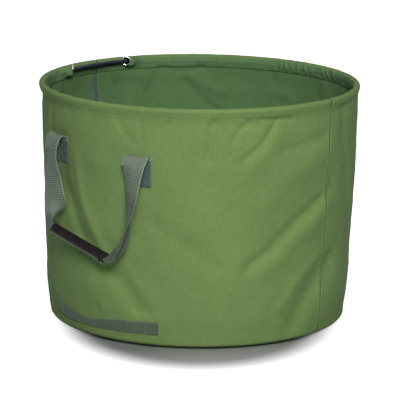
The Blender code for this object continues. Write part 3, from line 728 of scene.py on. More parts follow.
def make_base():
    """The round floor cloth, whose edge turns up into the base seam."""
    centre, start = seam_point()
    low = arc(centre, CORNER_RADIUS, -90.0, start, 5)
    tip, foot = seam_leaf(-1)
    profile = [(0.0004, CLOTH / 2)]
    profile += [(r, CLOTH / 2) for r in np.linspace(0.012, low[0][0] - 0.004, 40)]
    profile += [(r, max(z, CLOTH / 2)) for r, z in low[:-1]]
    profile += [tuple(foot + (tip - foot) * t) for t in (0.0, 0.35, 0.7, 1.0)]
    profile = np.array(profile)
    turn = np.linspace(0.0, 360.0, 240, endpoint=False)
    r, z = profile[:, :1] + 0.0 * turn, profile[:, 1:] + 0.0 * turn
    turn = np.broadcast_to(turn, r.shape)
    x, y = r * np.sin(np.radians(turn)), -r * np.cos(np.radians(turn))
    rumple = np.sin(x * 31.0 + 9.0 * y + 1.0) + np.sin(y * 43.0 - 17.0 * x)
    rumple = rumple + np.sin(x * 71.0 + y * 58.0 + 2.0)
    lift = 0.0007 * np.maximum(rumple + 0.4, 0.0) * smooth((0.285 - r) / 0.05)
    grid = around(r, turn, z + lift)
    return sheet_for("base_panel", "base_cloth", grid[::-1], CLOTH / 2, paired(x, y)[::-1], wrap=True)


def make_base_binding():
    """Tape folded over the base seam's allowance all round the inside."""
    wall, base = seam_leaf(1), seam_leaf(-1)
    tip = (wall[0] + base[0]) / 2
    inwards = unit(tip - (wall[1] + base[1]) / 2)
    across = np.array((inwards[1], -inwards[0])) * (CLOTH + 2 * GAP + BINDING / 2)
    over = tip + inwards * (GAP + BINDING / 2)
    down = inwards * 0.62 * SEAM_ALLOWANCE
    line = [over + across - down * t for t in (1.0, 0.6, 0.2)]
    for turn in np.radians((60.0, 25.0, 0.0, -25.0, -60.0)):
        line.append(over + across * math.sin(turn) + inwards * 0.0009 * (math.cos(turn) - 0.4))
    line += [over - across - down * t for t in (0.2, 0.6, 1.0)]
    line = np.array(line)
    angles = np.linspace(0.0, 360.0, 300, endpoint=False)
    wobble = 0.0003 * waves(angles, 0.0 * angles, 0.030, 8, 31)
    lean = np.linspace(0.2, 1.0, len(line))[:, None]
    r = line[:, :1] + wobble * lean * 0.3
    grid = around(r, angles[None, :] + 0.0 * r, line[:, 1:] + wobble * lean)
    uv = paired(lengths(line)[:, None], np.radians(angles)[None, :] * BASE_RADIUS)
    return sheet_for("base_seam_binding", "base_binding_tape", grid, BINDING / 2, uv, wrap=True)


def tape_wander(z):
    """How far the side tapes stray from their seams: they lean a little below the hem."""
    stray = 0.0006 * np.sin(z * 23.0 + 1.0) + 0.0004 * np.sin(z * 61.0)
    return stray + TAPE_LEAN * (0.5 - smooth((0.455 - z) / 0.060))


def make_side_tape(name, place, node):
    """Tape sewn over a side seam inside, from above the base seam to below the hem."""
    levels = np.linspace(TAPE_LOW, HEM_EDGE_Z - 0.004, 110)[:, None]
    across = np.linspace(-TAPE_WIDTH / 2, TAPE_WIDTH / 2, 15)[None, :]
    angle = place + np.degrees((across + tape_wander(levels)) / RIM_RADIUS)
    z = levels + 0.0 * angle
    r = skin(angle, z) - CLOTH - TAPE_GAP - BINDING / 2
    r = r + 0.0005 * bell(np.abs(across) - TAPE_STITCH, 0.0011)
    return sheet_for(node, name, around(r, angle, z), BINDING / 2, paired(across, z))


def make_hoop():
    """The plastic hoop: one tube all round the rim, its ends meeting between the eyelets."""
    middle = (EYELETS[0][1] + EYELETS[1][1]) / 2
    half_gap = math.degrees(0.0003 / HOOP_RADIUS)
    near = np.linspace(-30.0, 30.0, 121)
    far = np.linspace(31.0, 329.0, 220)
    turns = np.concatenate([[half_gap], near[near > 0], far, 360.0 + near[near < 0], [360.0 - half_gap]])
    centres = hoop_points(middle + turns)
    radius = np.full(len(centres), HOOP_TUBE / 2)
    radius[[0, -1]] -= 0.0004
    rings = np.concatenate([tube_grid(centres, radius, 20), tube_grid(centres, HOOP_BORE / 2, 20)[::-1]])
    hoop = rings_object("hoop_tube", rings, closed=True)
    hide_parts("rim_hoop")
    return hoop


def make_eyelet(eyelet):
    """A pressed ring with a rolled flange, and its barrel through the hem."""
    centre, axis, side = eyelet_frame(eyelet)
    back, face = -CLOTH / 2, CLOTH / 2 + 0.0002
    middle = (EYELET_HOLE + EYELET_RADIUS) / 2
    half = (EYELET_RADIUS - EYELET_HOLE) / 2
    barrel, flange = EYELET_CUT - 0.0002, EYELET_CUT + 0.0010
    profile = [(EYELET_HOLE, back - 0.0009), (EYELET_HOLE, back), (EYELET_HOLE, face)]
    for turn in np.radians(np.linspace(180.0, 0.0, 12)):
        height = face + EYELET_DOME * math.sin(turn) ** 0.8 + 0.0001
        profile.append((middle + half * math.cos(turn), height))
    profile += [(EYELET_RADIUS - 0.0001, face), (barrel, face), (barrel, back)]
    profile += [(flange, back - 0.0003), (flange, back - 0.0008)]
    profile = np.array(profile)
    up = np.cross(axis, side)
    turns = full_turn(56)
    out = side[None, :] * np.cos(turns)[:, None] + up[None, :] * np.sin(turns)[:, None]
    rings = centre + out[:, None] * profile[None, :, :1] + axis * profile[None, :, 1:]
    ring = rings_object("eyelet_ring_" + eyelet[0], rings, closed=True, sharp=50.0)
    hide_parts("eyelet_" + eyelet[0])
    return ring


def on_bag(points, turn):
    """Points given as along the front, outwards and up, on the front (0) or the back (1)."""
    return points * np.array((-1.0, 1.0, 1.0) if turn else (1.0, -1.0, 1.0))


def strap_stations(seats):
    """Rows of the whole carry strap, as in STRAP_LEFT. seats are the radii of its sewn ends.

    A fold of 0 is flat webbing, and 180 is webbing doubled along its middle.
    """
    rise = GRIP_UP * (FOLD_HALF - GRIP_DROP)
    rows = {}
    for hand, (crown, tall, lean, slump) in FOLDS_OUT.items():
        seat, high = seats[hand], ANCHORS[hand][1]
        turn = math.radians(hand * ANCHOR_ANGLE)
        outward = np.array((math.sin(turn), math.cos(turn), 0.0))
        width = np.array((math.cos(turn), -math.sin(turn), 0.0)) * -hand
        found = [(*(outward * seat + (0.0, 0.0, high)), *width, 0.0)]
        for angle in FOLD_TURNS:
            out = crown * (1.0 + math.cos(math.radians(angle)))
            height = high + 0.003 + crown * tall * math.sin(math.radians(angle))
            height = height - slump * (out / (2.0 * crown)) ** 2
            done = (FOLD_TURNS[0] - angle) / (FOLD_TURNS[0] - FOLD_TURNS[-1])
            aside = width * hand * lean * done**1.6
            place = outward * (seat + out) + aside + (0.0, 0.0, height)
            found.append((*place, *width, 0.0))
        rows[hand] = found

    def held(place, along):
        return (*(place + rise + GRIP_ALONG * along), *-OUTWARDS, FOLDED)

    doubled = [
        held(GRIP_LEFT, -GRIP_MOUTH),
        held(GRIP_LEFT, GRIP_INSIDE),
        held((GRIP_LEFT + GRIP_RIGHT) / 2, 0.0),
        held(GRIP_RIGHT, -GRIP_INSIDE),
        held(GRIP_RIGHT, GRIP_SLANT + GRIP_MOUTH),
    ]
    return np.array([*rows[-1], *STRAP_LEFT, *doubled, *STRAP_RIGHT, *rows[1][::-1]])


def strap_rows(seats):
    """Close rows along the strap, with the distance along it at each row."""
    table = strap_stations(seats)
    gaps = np.linalg.norm(np.diff(table[:, :3], axis=0), axis=1)
    slopes = np.gradient(table, lengths(table[:, :3]), axis=0)
    slopes[0, :3], slopes[-1, :3] = (0.0, 0.0, 1.0), (0.0, 0.0, -1.0)
    rows = []
    for i, gap in enumerate(gaps):
        steps = max(round(gap / STRAP_STEP), 2)
        for t in np.arange(steps) / steps:
            cube, square = t**3, t**2
            start = table[i] * (2 * cube - 3 * square + 1) + slopes[i] * gap * (cube - 2 * square + t)
            end = table[i + 1] * (3 * square - 2 * cube) + slopes[i + 1] * gap * (cube - square)
            rows.append(start + end)
    rows = np.array(rows + [table[-1]])
    return rows, lengths(rows[:, :3])


def webbing_half(share, ribs, extra=0.0):
    """Half thickness of webbing, ribbed but for its selvedges. share is 0 at its middle."""
    edge = np.where(share > 0.99, 0.55, 1.0)
    return WEBBING_THICKNESS / 2 * edge + ribs * (1.0 - smooth((share - 0.86) / 0.08)) + extra


def strap_grid(seats):
    """The strap's middle surface, its half thickness and its places for the weave."""
    rows, path = strap_rows(seats)
    crease, fold = rows[:, :3], np.clip(rows[:, 6], 0.0, FOLDED)
    along = unit(np.gradient(crease, axis=0))
    side = unit(rows[:, 3:6] - along * (along * rows[:, 3:6]).sum(axis=1, keepdims=True))
    tip = np.cross(along, side)
    width = WEBBING / 2 + (2 * FOLD_HALF - WEBBING / 2) * fold / FOLDED
    bend = FOLD_BEND + (TIGHT_BEND - FOLD_BEND) * smooth((fold - 100.0) / 75.0)
    radius = 2.0 * bend / np.maximum(np.radians(fold), 1e-3)
    near = STRAP_COLUMNS[-1]
    reaches = [np.full(len(rows), step) for step in STRAP_COLUMNS]
    reaches += [near + (width - near) * share for share in STRAP_SHARES]
    grid, places = [], []
    for sign, reach in [(-1, reach) for reach in reaches[:0:-1]] + [(1, reach) for reach in reaches]:
        bent = np.minimum(reach, bend)
        swing = bent / radius * sign
        lead = side * np.cos(swing)[:, None] + tip * np.sin(swing)[:, None]
        out = side * (radius * np.sin(swing))[:, None] + tip * (radius * (1.0 - np.cos(swing)))[:, None]
        grid.append(crease + out + lead * ((reach - bent) * sign)[:, None])
        places.append(sign * float(reach[0]))
    grid, places = np.stack(grid, axis=1), np.array(places)

    # Close to its sewn ends the webbing keeps the wall's curve
    from_end = path[-1] - path
    bow = smooth((path - 0.004) / 0.012) * smooth((from_end - 0.004) / 0.012)
    sag = (places**2)[None, :] / (2.0 * RIM_RADIUS) * (1.0 - bow)[:, None]
    grid = grid - unit(crease * (1.0, 1.0, 0.0))[:, None] * sag[..., None]

    # The ribs are pressed flat at the folds and inside the sleeve
    calm = FOLD_RIBS + (1.0 - FOLD_RIBS) * smooth((np.minimum(path, from_end) - RIBS_START) / 0.016)
    held = np.minimum(*(smooth((s - e) / RIBS_FADE) for s, e in zip((path, from_end), RIBS_END)))
    ribs = RIB_HEIGHT * calm * (1.0 - 0.9 * held) * np.cos(2.0 * math.pi * path / RIB_PITCH)
    half = webbing_half(np.abs(places)[None, :] / (WEBBING / 2), ribs[:, None])
    return grid, half, paired(places[None, :], path[:, None]), path


def make_carry_strap(name, turn):
    """The carry strap in one length, cut in three: its middle rides on the handle, and its two folds are
    separate pieces.
    """
    face = 180.0 if turn else 0.0
    lift = {hand: float(skin(hand * ANCHOR_ANGLE + face, high)) for hand, (_, high) in ANCHORS.items()}
    seats = {hand: radius + SEWN_GAP + WEBBING_THICKNESS / 2 for hand, radius in lift.items()}
    grid, half, uv, path = strap_grid(seats)
    grid = on_bag(grid, turn)
    first = int(np.argmax(path > BLEND_LENGTH))
    last = int(len(path) - 1 - np.argmax((path[-1] - path)[::-1] > BLEND_LENGTH))
    stretches = {
        "fold_left": slice(0, first + 1),
        "loop": slice(first, last + 1),
        "fold_right": slice(last, None),
    }
    pieces = []
    for label, part in stretches.items():
        pieces.append(thick_grid(f"{name}_strap_{label}", grid[part], half[part], uv[part]))
    body = name + "_handle"
    for piece, hand in ((pieces[0], -1), (pieces[2], 1)):
        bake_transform(piece)
    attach(pieces[1], body)
    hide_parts(name + "_handle_webbing")
    return pieces, float(path[-1])


def make_patch(name, side, hand, turn):
    """The strap's end, sewn flat to the wall below the fold and straight across at its top."""
    place = hand * ANCHOR_ANGLE + (180.0 if turn else 0.0)
    low, high = ANCHORS[hand]
    across = np.linspace(-WEBBING / 2, WEBBING / 2, 25)[None, :]
    angle = place + np.degrees(across / RIM_RADIUS)
    z = np.linspace(low, high, 54)[:, None] + 0.0 * angle
    r = skin(angle, z)
    r = r + (skin(place, high) - r) * smooth((z - high + SEWN_TOP) / 0.012)
    grid = around(r + SEWN_GAP + WEBBING_THICKNESS / 2, angle, z)
    ribs = RIB_HEIGHT * np.cos(2.0 * math.pi * (z - high) / RIB_PITCH)
    half = webbing_half(np.abs(across) / (WEBBING / 2), ribs)
    node = f"{name}_handle_anchor_{side}"
    return sheet_for(node, f"{name}_strap_end_{side}", grid, half, paired(across, z - high))


def mouth(t):
    """0 along most of the sleeve, rising to 1 at its right end."""
    return smooth((t - 0.86) / 0.14)


def make_sleeve(name, turn):
    """The dark grip sleeve, pinched along its lower edge and open at both ends, and its rolled lip."""
    high, deep = (GRIP_HEIGHT - GRIP_WALL) / 2, (GRIP_DEPTH - GRIP_WALL) / 2
    turns = full_turn(56)
    c, s = np.cos(turns), np.sin(turns)
    level = np.sign(c) * np.abs(c) ** GRIP_SQUARE_UP
    round_side = np.sign(s) * np.abs(s) ** GRIP_SQUARE_OUT
    pinch = GRIP_PINCH * smooth((-level - 0.45) / 0.5)
    front = 0.5 * (1.0 + np.sign(s)) * smooth(0.4 - 1.2 * level)
    rows = np.linspace(0.0, 1.0, 64)
    grid = []
    for t in rows:
        flare = 1.0 + FLARE_LEFT * (1.0 - smooth(t / 0.06)) + FLARE_RIGHT * smooth((t - 0.93) / 0.07)
        dent = 0.00035 * np.sin(t * 31.0 + 2.0 * level) + 0.0003 * np.sin(t * 53.0 - 3.0 * level)
        fat = round_side * deep * flare * (1.0 - pinch * (1.0 - mouth(t))) + s * dent
        rise = high * level + np.minimum(level, 0.0) * MOUTH_DROOP * mouth(t)
        slant = mouth(t) * (0.45 + 1.05 * level - 0.90 * front)
        slant = slant + (1.0 - smooth(t / 0.12)) * (0.3 + 0.7 * level)
        centre = GRIP_LEFT + GRIP_ALONG * GRIP_LENGTH * t
        centre = centre - GRIP_UP * (GRIP_SWAY * math.sin(math.pi * t) + GRIP_DROP)
        ring = np.outer(rise, GRIP_UP) + np.outer(fat, OUTWARDS)
        grid.append(centre + ring + np.outer(GRIP_SLANT * slant, GRIP_ALONG))
    uv = paired((turns * 0.010)[None, :], (rows * GRIP_LENGTH)[:, None])
    grid = on_bag(np.array(grid), turn)
    sleeve = sheet_for(name + "_handle_grip", name + "_grip_sleeve", grid, GRIP_WALL / 2, uv, wrap=True)
    rows = np.linspace(0.005, 0.970, 60)
    drop = GRIP_DROP + high + 0.0010 + GRIP_SWAY * np.sin(math.pi * rows) + MOUTH_DROOP * mouth(rows)
    centres = GRIP_LEFT + np.outer(GRIP_LENGTH * rows, GRIP_ALONG) - np.outer(drop, GRIP_UP)
    turns = full_turn(12)
    ring = np.outer(LIP_UP * np.cos(turns), GRIP_UP) + np.outer(LIP_OUT * np.sin(turns), OUTWARDS)
    lip = rings_object(name + "_grip_lip", on_bag(centres[:, None] + ring[None, :], turn))
    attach(sleeve, name + "_handle")
    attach(lip, name + "_handle")
    return sleeve, lip


def tipping_reach():
    """Radius of the wall at the tipping strap, and half the strap's length round it."""
    radius = float(wall_radius(TIPPING_LOW))
    return radius, math.radians(TIPPING_SPAN / 2) * radius


def tipping_height(share, rise):
    """Heights on the tipping strap, which is sewn on a little askew and puckered in its middle."""
    squeeze = 1.0 - 0.38 * bell(share + 0.15, 0.32)
    ends = 0.008 * smooth((-share - 0.55) / 0.45) + 0.004 * smooth((share - 0.3) / 0.7)
    return TIPPING_LOW + TIPPING_HEIGHT * rise * squeeze + ends + 0.0006 * np.sin(share * 4.2 + 0.7)


def tipping_doubled(along, half_span):
    """1 where the tipping strap's end is folded under."""
    return smooth((np.abs(along) - half_span + TIPPING_FOLD) / 0.002)


def make_tipping_strap(name, turn):
    """The short strap sewn flat round the foot of the wall, its ends folded under."""
    radius, half_span = tipping_reach()
    along = np.linspace(-half_span, half_span, 300)[None, :]
    rise = np.linspace(0.0, 1.0, 15)[:, None]
    angle = TIPPING_CENTRE + (180.0 if turn else 0.0) + np.degrees(along / radius)
    z = tipping_height(along / half_span, rise)
    doubled = tipping_doubled(along, half_span)
    r = skin(angle, z) + SEWN_GAP + WEBBING_THICKNESS / 2 + DOUBLED_RISE * doubled
    ribs = TIPPING_RIBS * np.cos(2.0 * math.pi * along / TIPPING_PITCH)
    half = webbing_half(np.abs(rise - 0.5) * 2.0, ribs, DOUBLED_HALF * doubled)
    uv = paired((rise - 0.5) * TIPPING_HEIGHT, along)
    grid = around(r, angle, z)
    turned = (part[:, ::-1] for part in (grid, half, uv))
    return sheet_for(name + "_dump_strap", name + "_tipping_strap", *turned)


def stitches(name, lines, length, gap):
    """Rows of thread stitches as small round-ended bars. A line is its points and outward normals."""
    points, faces = [], []
    ring = np.arange(THREAD_SIDES)
    around_ring = np.roll(ring, -1)
    steps = np.array([t for t, _ in THREAD_FORM])
    lift = np.where((steps > 0.05) & (steps < 0.95), THREAD * (1.0 - THREAD_SINK), -THREAD * 0.3)
    for line, normals in lines:
        path = lengths(line)
        count = max(int(path[-1] / (length + gap)), 1)
        slack = path[-1] / count - length
        for i in range(count):
            at = i * (length + slack) + slack / 2 + length * steps
            centres = np.stack([np.interp(at, path, line[:, k]) for k in range(3)], axis=1)
            out = unit(np.stack([np.interp(at, path, normals[:, k]) for k in range(3)], axis=1))
            aside = unit(np.cross(out, unit(centres[-1] - centres[0])))
            base = len(points)
            for j, (_, share) in enumerate(THREAD_FORM):
                for turn in full_turn(THREAD_SIDES):
                    swing = out[j] * math.cos(turn) * 0.85 + aside[j] * math.sin(turn)
                    points.append(centres[j] + out[j] * lift[j] + swing * THREAD * share)
            for near in base + THREAD_SIDES * np.arange(len(THREAD_FORM) - 1):
                far = near + THREAD_SIDES
                faces += zip(near + ring, near + around_ring, far + around_ring, far + ring)
            faces += [(base + ring)[::-1], len(points) - THREAD_SIDES + ring]
    return mesh_object(name, points, faces, np.zeros((len(points), 2)), 80.0)


def wall_line(angles, levels, off, inside=False):
    """A line on the wall's skin, standing off it, with its normals."""
    angles, levels = np.broadcast_arrays(np.asarray(angles, float), np.asarray(levels, float))
    r = skin(angles, levels)
    r = r - CLOTH - off if inside else r + off
    return around(r, angles, levels), around(-1.0 if inside else 1.0, angles, 0.0 * levels)


class Tree:
    """A node tree, built with short calls. A value is a number, a colour or a node's output."""

    def __init__(self, tree):
        self.tree = tree

    def put(self, socket, value):
        if isinstance(value, bpy.types.NodeSocket):
            self.tree.links.new(value, socket)
        else:
            socket.default_value = value

    def add(self, kind, *values, **settings):
        """A new node with these settings, its first inputs given these values."""
        node = self.tree.nodes.new("ShaderNode" + kind)
        for key, value in settings.items():
            setattr(node, key, value)
        for socket, value in zip(node.inputs, values):
            self.put(socket, value)
        return node

    def math(self, operation, *values):
        return self.add("Math", *values, operation=operation).outputs[0]

    def span(self, value, low, high, start=0.0, end=1.0, **settings):
        """low to high, as the value goes from start to end."""
        return self.add("MapRange", value, start, end, low, high, **settings).outputs[0]

    def mix(self, factor, first, second, blend="MIX"):
        node = self.add("Mix", factor, data_type="RGBA", blend_type=blend)
        self.put(node.inputs[6], first)
        self.put(node.inputs[7], second)
        return node.outputs[2]

    def seen(self):
        """1 for camera, glossy and transmission rays, which see a white background."""
        rays = self.add("LightPath").outputs
        total = rays["Is Camera Ray"]
        for name in ("Is Glossy Ray", "Is Transmission Ray"):
            total = self.math("MAXIMUM", total, rays[name])
        return total


class Surface(Tree):
    """A material with nodes for its colour, roughness and bump."""

    def __init__(self, name, colour, roughness, **fixed):
        self.material = bpy.data.materials.new(name)
        self.material.use_nodes = True
        super().__init__(self.material.node_tree)
        self.shader = self.tree.nodes["Principled BSDF"].inputs
        self.shader["Base Color"].default_value = (*colour, 1.0)
        self.shader["Roughness"].default_value = roughness
        for socket, value in fixed.items():
            self.shader[socket.replace("_", " ")].default_value = value
        self.colour = colour
        self.height = None

    def look(self, colour, roughness):
        self.put(self.shader["Base Color"], colour)
        self.put(self.shader["Roughness"], roughness)

    def object_place(self):
        return self.add("TexCoord").outputs["Object"]

    def cloth(self):
        """The place along the cloth, and its two parts in millimetres."""
        place = self.add("UVMap", uv_map="cloth").outputs[0]
        parts = self.add("SeparateXYZ", place).outputs
        return place, *(self.math("MULTIPLY", parts[i], MILLIMETRES) for i in (0, 1))

    def noise(self, vector, scale, detail=3.0, roughness=0.5, stretch=(1.0, 1.0, 1.0)):
        mapping = self.add("Mapping", vector)
        mapping.inputs["Scale"].default_value = stretch
        node = self.add("TexNoise", mapping.outputs[0])
        for socket, value in (("Scale", scale), ("Detail", detail), ("Roughness", roughness)):
            node.inputs[socket].default_value = value
        return node.outputs[0]

    def ridge(self, place, pitch, offset=0.0):
        """A wave from 0 to 1 of this pitch in mm."""
        turn = self.math("MULTIPLY_ADD", place, 2.0 * math.pi / pitch, offset)
        return self.math("MULTIPLY_ADD", self.math("SINE", turn), 0.5, 0.5)

    def shade(self, factor, dark, light):
        """The base colour from dark to light times itself, by a factor from 0 to 1."""
        ends = [(*[c * share for c in self.colour], 1.0) for share in (dark, light)]
        return self.mix(factor, *ends)

    def tinted(self, colour, tint):
        return self.mix(1.0, colour, (*tint, 1.0), "MULTIPLY")

    def dimmed(self, colour, factors):
        """A colour times each of these values."""
        for factor in factors:
            grey = self.add("CombineColor", factor, factor, factor).outputs[0]
            colour = self.mix(1.0, colour, grey, "MULTIPLY")
        return colour

    def bump(self, height, distance, strength=1.0):
        """Raises the surface by a height from 0 to 1, over any bump before it."""
        node = self.add("Bump")
        for socket, value in (("Strength", strength), ("Distance", distance), ("Height", height)):
            self.put(node.inputs[socket], value)
        if self.height is not None:
            self.put(node.inputs["Normal"], self.height)
        self.height = node.outputs[0]
        self.put(self.shader["Normal"], self.height)

    def inner_face(self):
        """1 on faces that look towards the bag's axis from below the rim, and 0 elsewhere."""
        coordinates = self.add("TexCoord").outputs
        flat = self.add("VectorMath", coordinates["Object"], (1.0, 1.0, 0.0), operation="MULTIPLY")
        away = self.add("VectorMath", flat.outputs[0], coordinates["Normal"], operation="DOT_PRODUCT")
        turned_in = self.span(away.outputs["Value"], 1.0, 0.0, -0.12, -0.04)
        z = self.add("SeparateXYZ", coordinates["Object"]).outputs[2]
        return self.math("MULTIPLY", turned_in, self.span(z, 1.0, 0.0, HEIGHT - 0.006, HEIGHT - 0.002))

    def sewn_lines(self, inner):
        """Painted shade in the side seams' furrows, with a painted highlight beside each, and painted
        shade under the hem.
        """
        x, y, z = self.add("SeparateXYZ", self.object_place()).outputs
        angle = self.math("ARCTAN2", x, self.math("MULTIPLY", y, -1.0))
        found = []
        for seam in SEAMS:
            off = self.math("SUBTRACT", angle, math.radians(seam))
            off = self.math("MULTIPLY", off, RIM_RADIUS)
            found.append(self.span(self.math("ABSOLUTE", off), SEAM_SHADE, 1.0, 0.0009, 0.0024))
            # A painted highlight beside each seam's furrow
            beside = self.math("ABSOLUTE", self.math("SUBTRACT", off, 0.0034))
            found.append(self.span(beside, 1.10, 1.0, 0.0004, 0.0012))
        below = self.math("ABSOLUTE", self.math("SUBTRACT", z, HEM_EDGE_Z - 0.0004))
        shade = self.span(below, 1.0, 0.0, 0.0006, 0.0022)
        depth = self.span(inner, OUTER_HEM_SHADE, INNER_HEM_SHADE)
        found.append(self.math("SUBTRACT", 1.0, self.math("MULTIPLY", shade, depth)))
        return found


def canvas_material(name, colour, thread=1.05, sheen=0.03, wall=True):
    """Plain-woven heavy canvas: crossing threads, slubs and soft blotches.

    The wall's also has painted shade on its inner faces, painted light on the hem's inner face, and its
    sewn lines.
    """
    nodes = Surface(name, colour, 0.86, Sheen_Weight=sheen, Sheen_Roughness=0.5, Specular_IOR_Level=0.12)
    place, u, v = nodes.cloth()
    over = nodes.math("MULTIPLY", nodes.ridge(u, 2 * thread, 0.8), nodes.ridge(v, 2 * thread, 0.8))
    over = nodes.span(over, 0.0, 1.0, 0.15, 0.55)
    warp = nodes.math("MULTIPLY", nodes.ridge(u, thread), over)
    weft = nodes.math("MULTIPLY", nodes.ridge(v, thread), nodes.math("SUBTRACT", 1.0, over))
    weave = nodes.math("ADD", warp, weft)
    slubs = [nodes.noise(place, 160.0, 2.0, 0.5, way) for way in ((6.0, 0.35, 1.0), (0.35, 6.0, 1.0))]
    slub = nodes.math("ADD", *slubs)
    blotch = nodes.noise(nodes.object_place(), 7.0, 4.0, 0.55)
    grain = nodes.noise(place, 420.0, 2.0, 0.6)
    broad = nodes.shade(nodes.span(blotch, 0.0, 1.0, 0.3, 0.7), 0.93, 1.06)
    factors = [nodes.span(slub, 0.86, 1.12, 0.7, 1.3), nodes.span(grain, 0.86, 1.12, 0.3, 0.7),
               nodes.span(weave, 0.90, 1.05)]
    if wall:
        inner = nodes.inner_face()
        z = nodes.add("SeparateXYZ", nodes.object_place()).outputs[2]
        hem = nodes.span(z, 0.0, 1.0, PINCH_Z - 0.001, PINCH_Z + 0.001)
        # Inner faces get painted shade below the hem and painted light on the hem's face
        inside = nodes.mix(hem, nodes.tinted(broad, INSIDE_PAINTED_SHADE), nodes.tinted(broad, HEM_PAINTED_LIGHT))
        broad = nodes.mix(inner, broad, inside)
        factors += nodes.sewn_lines(inner)
    nodes.look(nodes.dimmed(broad, factors), nodes.span(grain, 0.80, 0.93, 0.3, 0.7))
    nodes.bump(weave, 0.00018)
    nodes.bump(nodes.math("ADD", slub, grain), 0.00022, 0.7)
    nodes.bump(nodes.noise(nodes.object_place(), 60.0, 3.0, 0.5), 0.0012, 0.35)
    return nodes.material


def webbing_material(name, colour, pitch, width, tones=PLAIN_TONES, length=None):
    """Ribbed webbing: cross ribs, lengthwise threads and two smooth edges.

    A carry strap gives its length, for the stretches that are pressed flat and for the painted shade on
    its middle.
    """
    furrow, crest, rim = tones
    nodes = Surface(name, colour, 0.72, Sheen_Weight=0.04, Sheen_Roughness=0.4, Specular_IOR_Level=0.25)
    place, u, v = nodes.cloth()
    rib = nodes.ridge(v, pitch * MILLIMETRES, math.pi / 2)
    cross = nodes.ridge(v, pitch * MILLIMETRES / 4.0)
    selvedge = width * MILLIMETRES / 2
    threads = nodes.ridge(u, 1.25)
    edge = nodes.span(nodes.math("ABSOLUTE", u), 0.0, 1.0, selvedge - 2.4, selvedge - 1.4)
    ribbed = nodes.math("SUBTRACT", 1.0, edge)
    factors = []
    if length is not None:
        w = nodes.math("SUBTRACT", length * MILLIMETRES, v)
        left, right, fade = (MILLIMETRES * value for value in (*RIBS_END, RIBS_FADE))
        held = nodes.math("MINIMUM", nodes.span(v, 0.0, 1.0, left, left + fade),
                          nodes.span(w, 0.0, 1.0, right, right + fade))
        # Painted shade on the carry strap's middle, away from its folds
        middle_shade = nodes.math("MINIMUM", nodes.span(v, 0.0, 1.0, left + 30.0, left + 50.0),
                            nodes.span(w, 0.0, 1.0, right - 14.0, right + 14.0))
        folds = nodes.span(nodes.math("MINIMUM", v, w), FOLD_RIBS, 1.0, RIBS_START * MILLIMETRES, 46.0)
        ribbed = nodes.math("MULTIPLY", ribbed, folds)
        ribbed = nodes.math("MULTIPLY", ribbed, nodes.math("MULTIPLY_ADD", held, -0.9, 1.0))
        factors.append(nodes.math("MULTIPLY_ADD", middle_shade, -MIDDLE_SHADE, 1.0))
    # Painted shade in the rib furrows and painted highlight on the crests, with lighter edges
    tone = nodes.math("SUBTRACT", nodes.span(rib, furrow, crest), 1.0)
    tone = nodes.math("MULTIPLY_ADD", edge, rim, nodes.math("MULTIPLY_ADD", tone, ribbed, 1.0))
    slub = nodes.span(nodes.noise(place, 260.0, 3.0, 0.55, (4.0, 0.5, 1.0)), 0.84, 1.14, 0.25, 0.75)
    blotch = nodes.span(nodes.noise(nodes.object_place(), 16.0, 3.0), 0.93, 1.06, 0.3, 0.7)
    factors += [tone, slub, blotch, nodes.span(threads, 0.92, 1.05)]
    nodes.look(nodes.dimmed((*colour, 1.0), factors), nodes.span(slub, 0.62, 0.80, 0.84, 1.14))
    nodes.bump(nodes.math("MULTIPLY", threads, nodes.span(rib, 0.5, 1.0)), 0.00022)
    nodes.bump(nodes.math("MULTIPLY", cross, ribbed), 0.00008)
    nodes.bump(slub, 0.0002, 0.5)
    return nodes.material


def thread_material():
    nodes = Surface("thread", THREAD_GREEN, 0.6, Sheen_Weight=0.2)
    twist = nodes.noise(nodes.object_place(), 900.0, 2.0)
    nodes.put(nodes.shader["Base Color"], nodes.shade(nodes.span(twist, 0.0, 1.0, 0.3, 0.7), 0.85, 1.12))
    nodes.bump(twist, 0.0002, 0.5)
    return nodes.material


def moulded_material(name, colour, roughness, grain, depth, **fixed):
    """Plastic with fine grain, faint scuffs and uneven gloss."""
    nodes = Surface(name, colour, roughness, **fixed)
    place = nodes.object_place()
    fine = nodes.noise(place, grain, 3.0, 0.6)
    broad = nodes.noise(place, 22.0, 4.0, 0.6)
    scuff = nodes.noise(place, 90.0, 6.0, 0.75, (1.0, 0.25, 1.0))
    rubbed = nodes.span(scuff, 0.0, 1.0, 0.60, 0.78)
    tone = nodes.shade(nodes.span(broad, 0.0, 1.0, 0.3, 0.7), 0.88, 1.14)
    lighter = (*[1.3 * c + 0.004 for c in colour], 1.0)
    gloss = nodes.span(broad, roughness - 0.06, roughness + 0.06, 0.3, 0.7)
    nodes.look(nodes.mix(nodes.math("MULTIPLY", rubbed, 0.45), tone, lighter),
               nodes.math("MULTIPLY_ADD", rubbed, 0.16, gloss))
    nodes.bump(fine, depth)
    nodes.bump(scuff, 0.0004, 0.25)
    return nodes.material


def chrome_material():
    nodes = Surface("bright_plating", CHROME, 0.16, Metallic=1.0)
    place = nodes.object_place()
    cloud = nodes.noise(place, 300.0, 4.0, 0.6)
    nodes.look(nodes.shade(nodes.span(cloud, 0.0, 1.0, 0.35, 0.7), 0.88, 1.04),
               nodes.span(cloud, 0.10, 0.26, 0.3, 0.7))
    nodes.bump(nodes.noise(place, 1400.0, 2.0), 0.00003)
    return nodes.material


def paint(pieces, material):
    for piece in pieces:
        piece.data.materials.append(material)


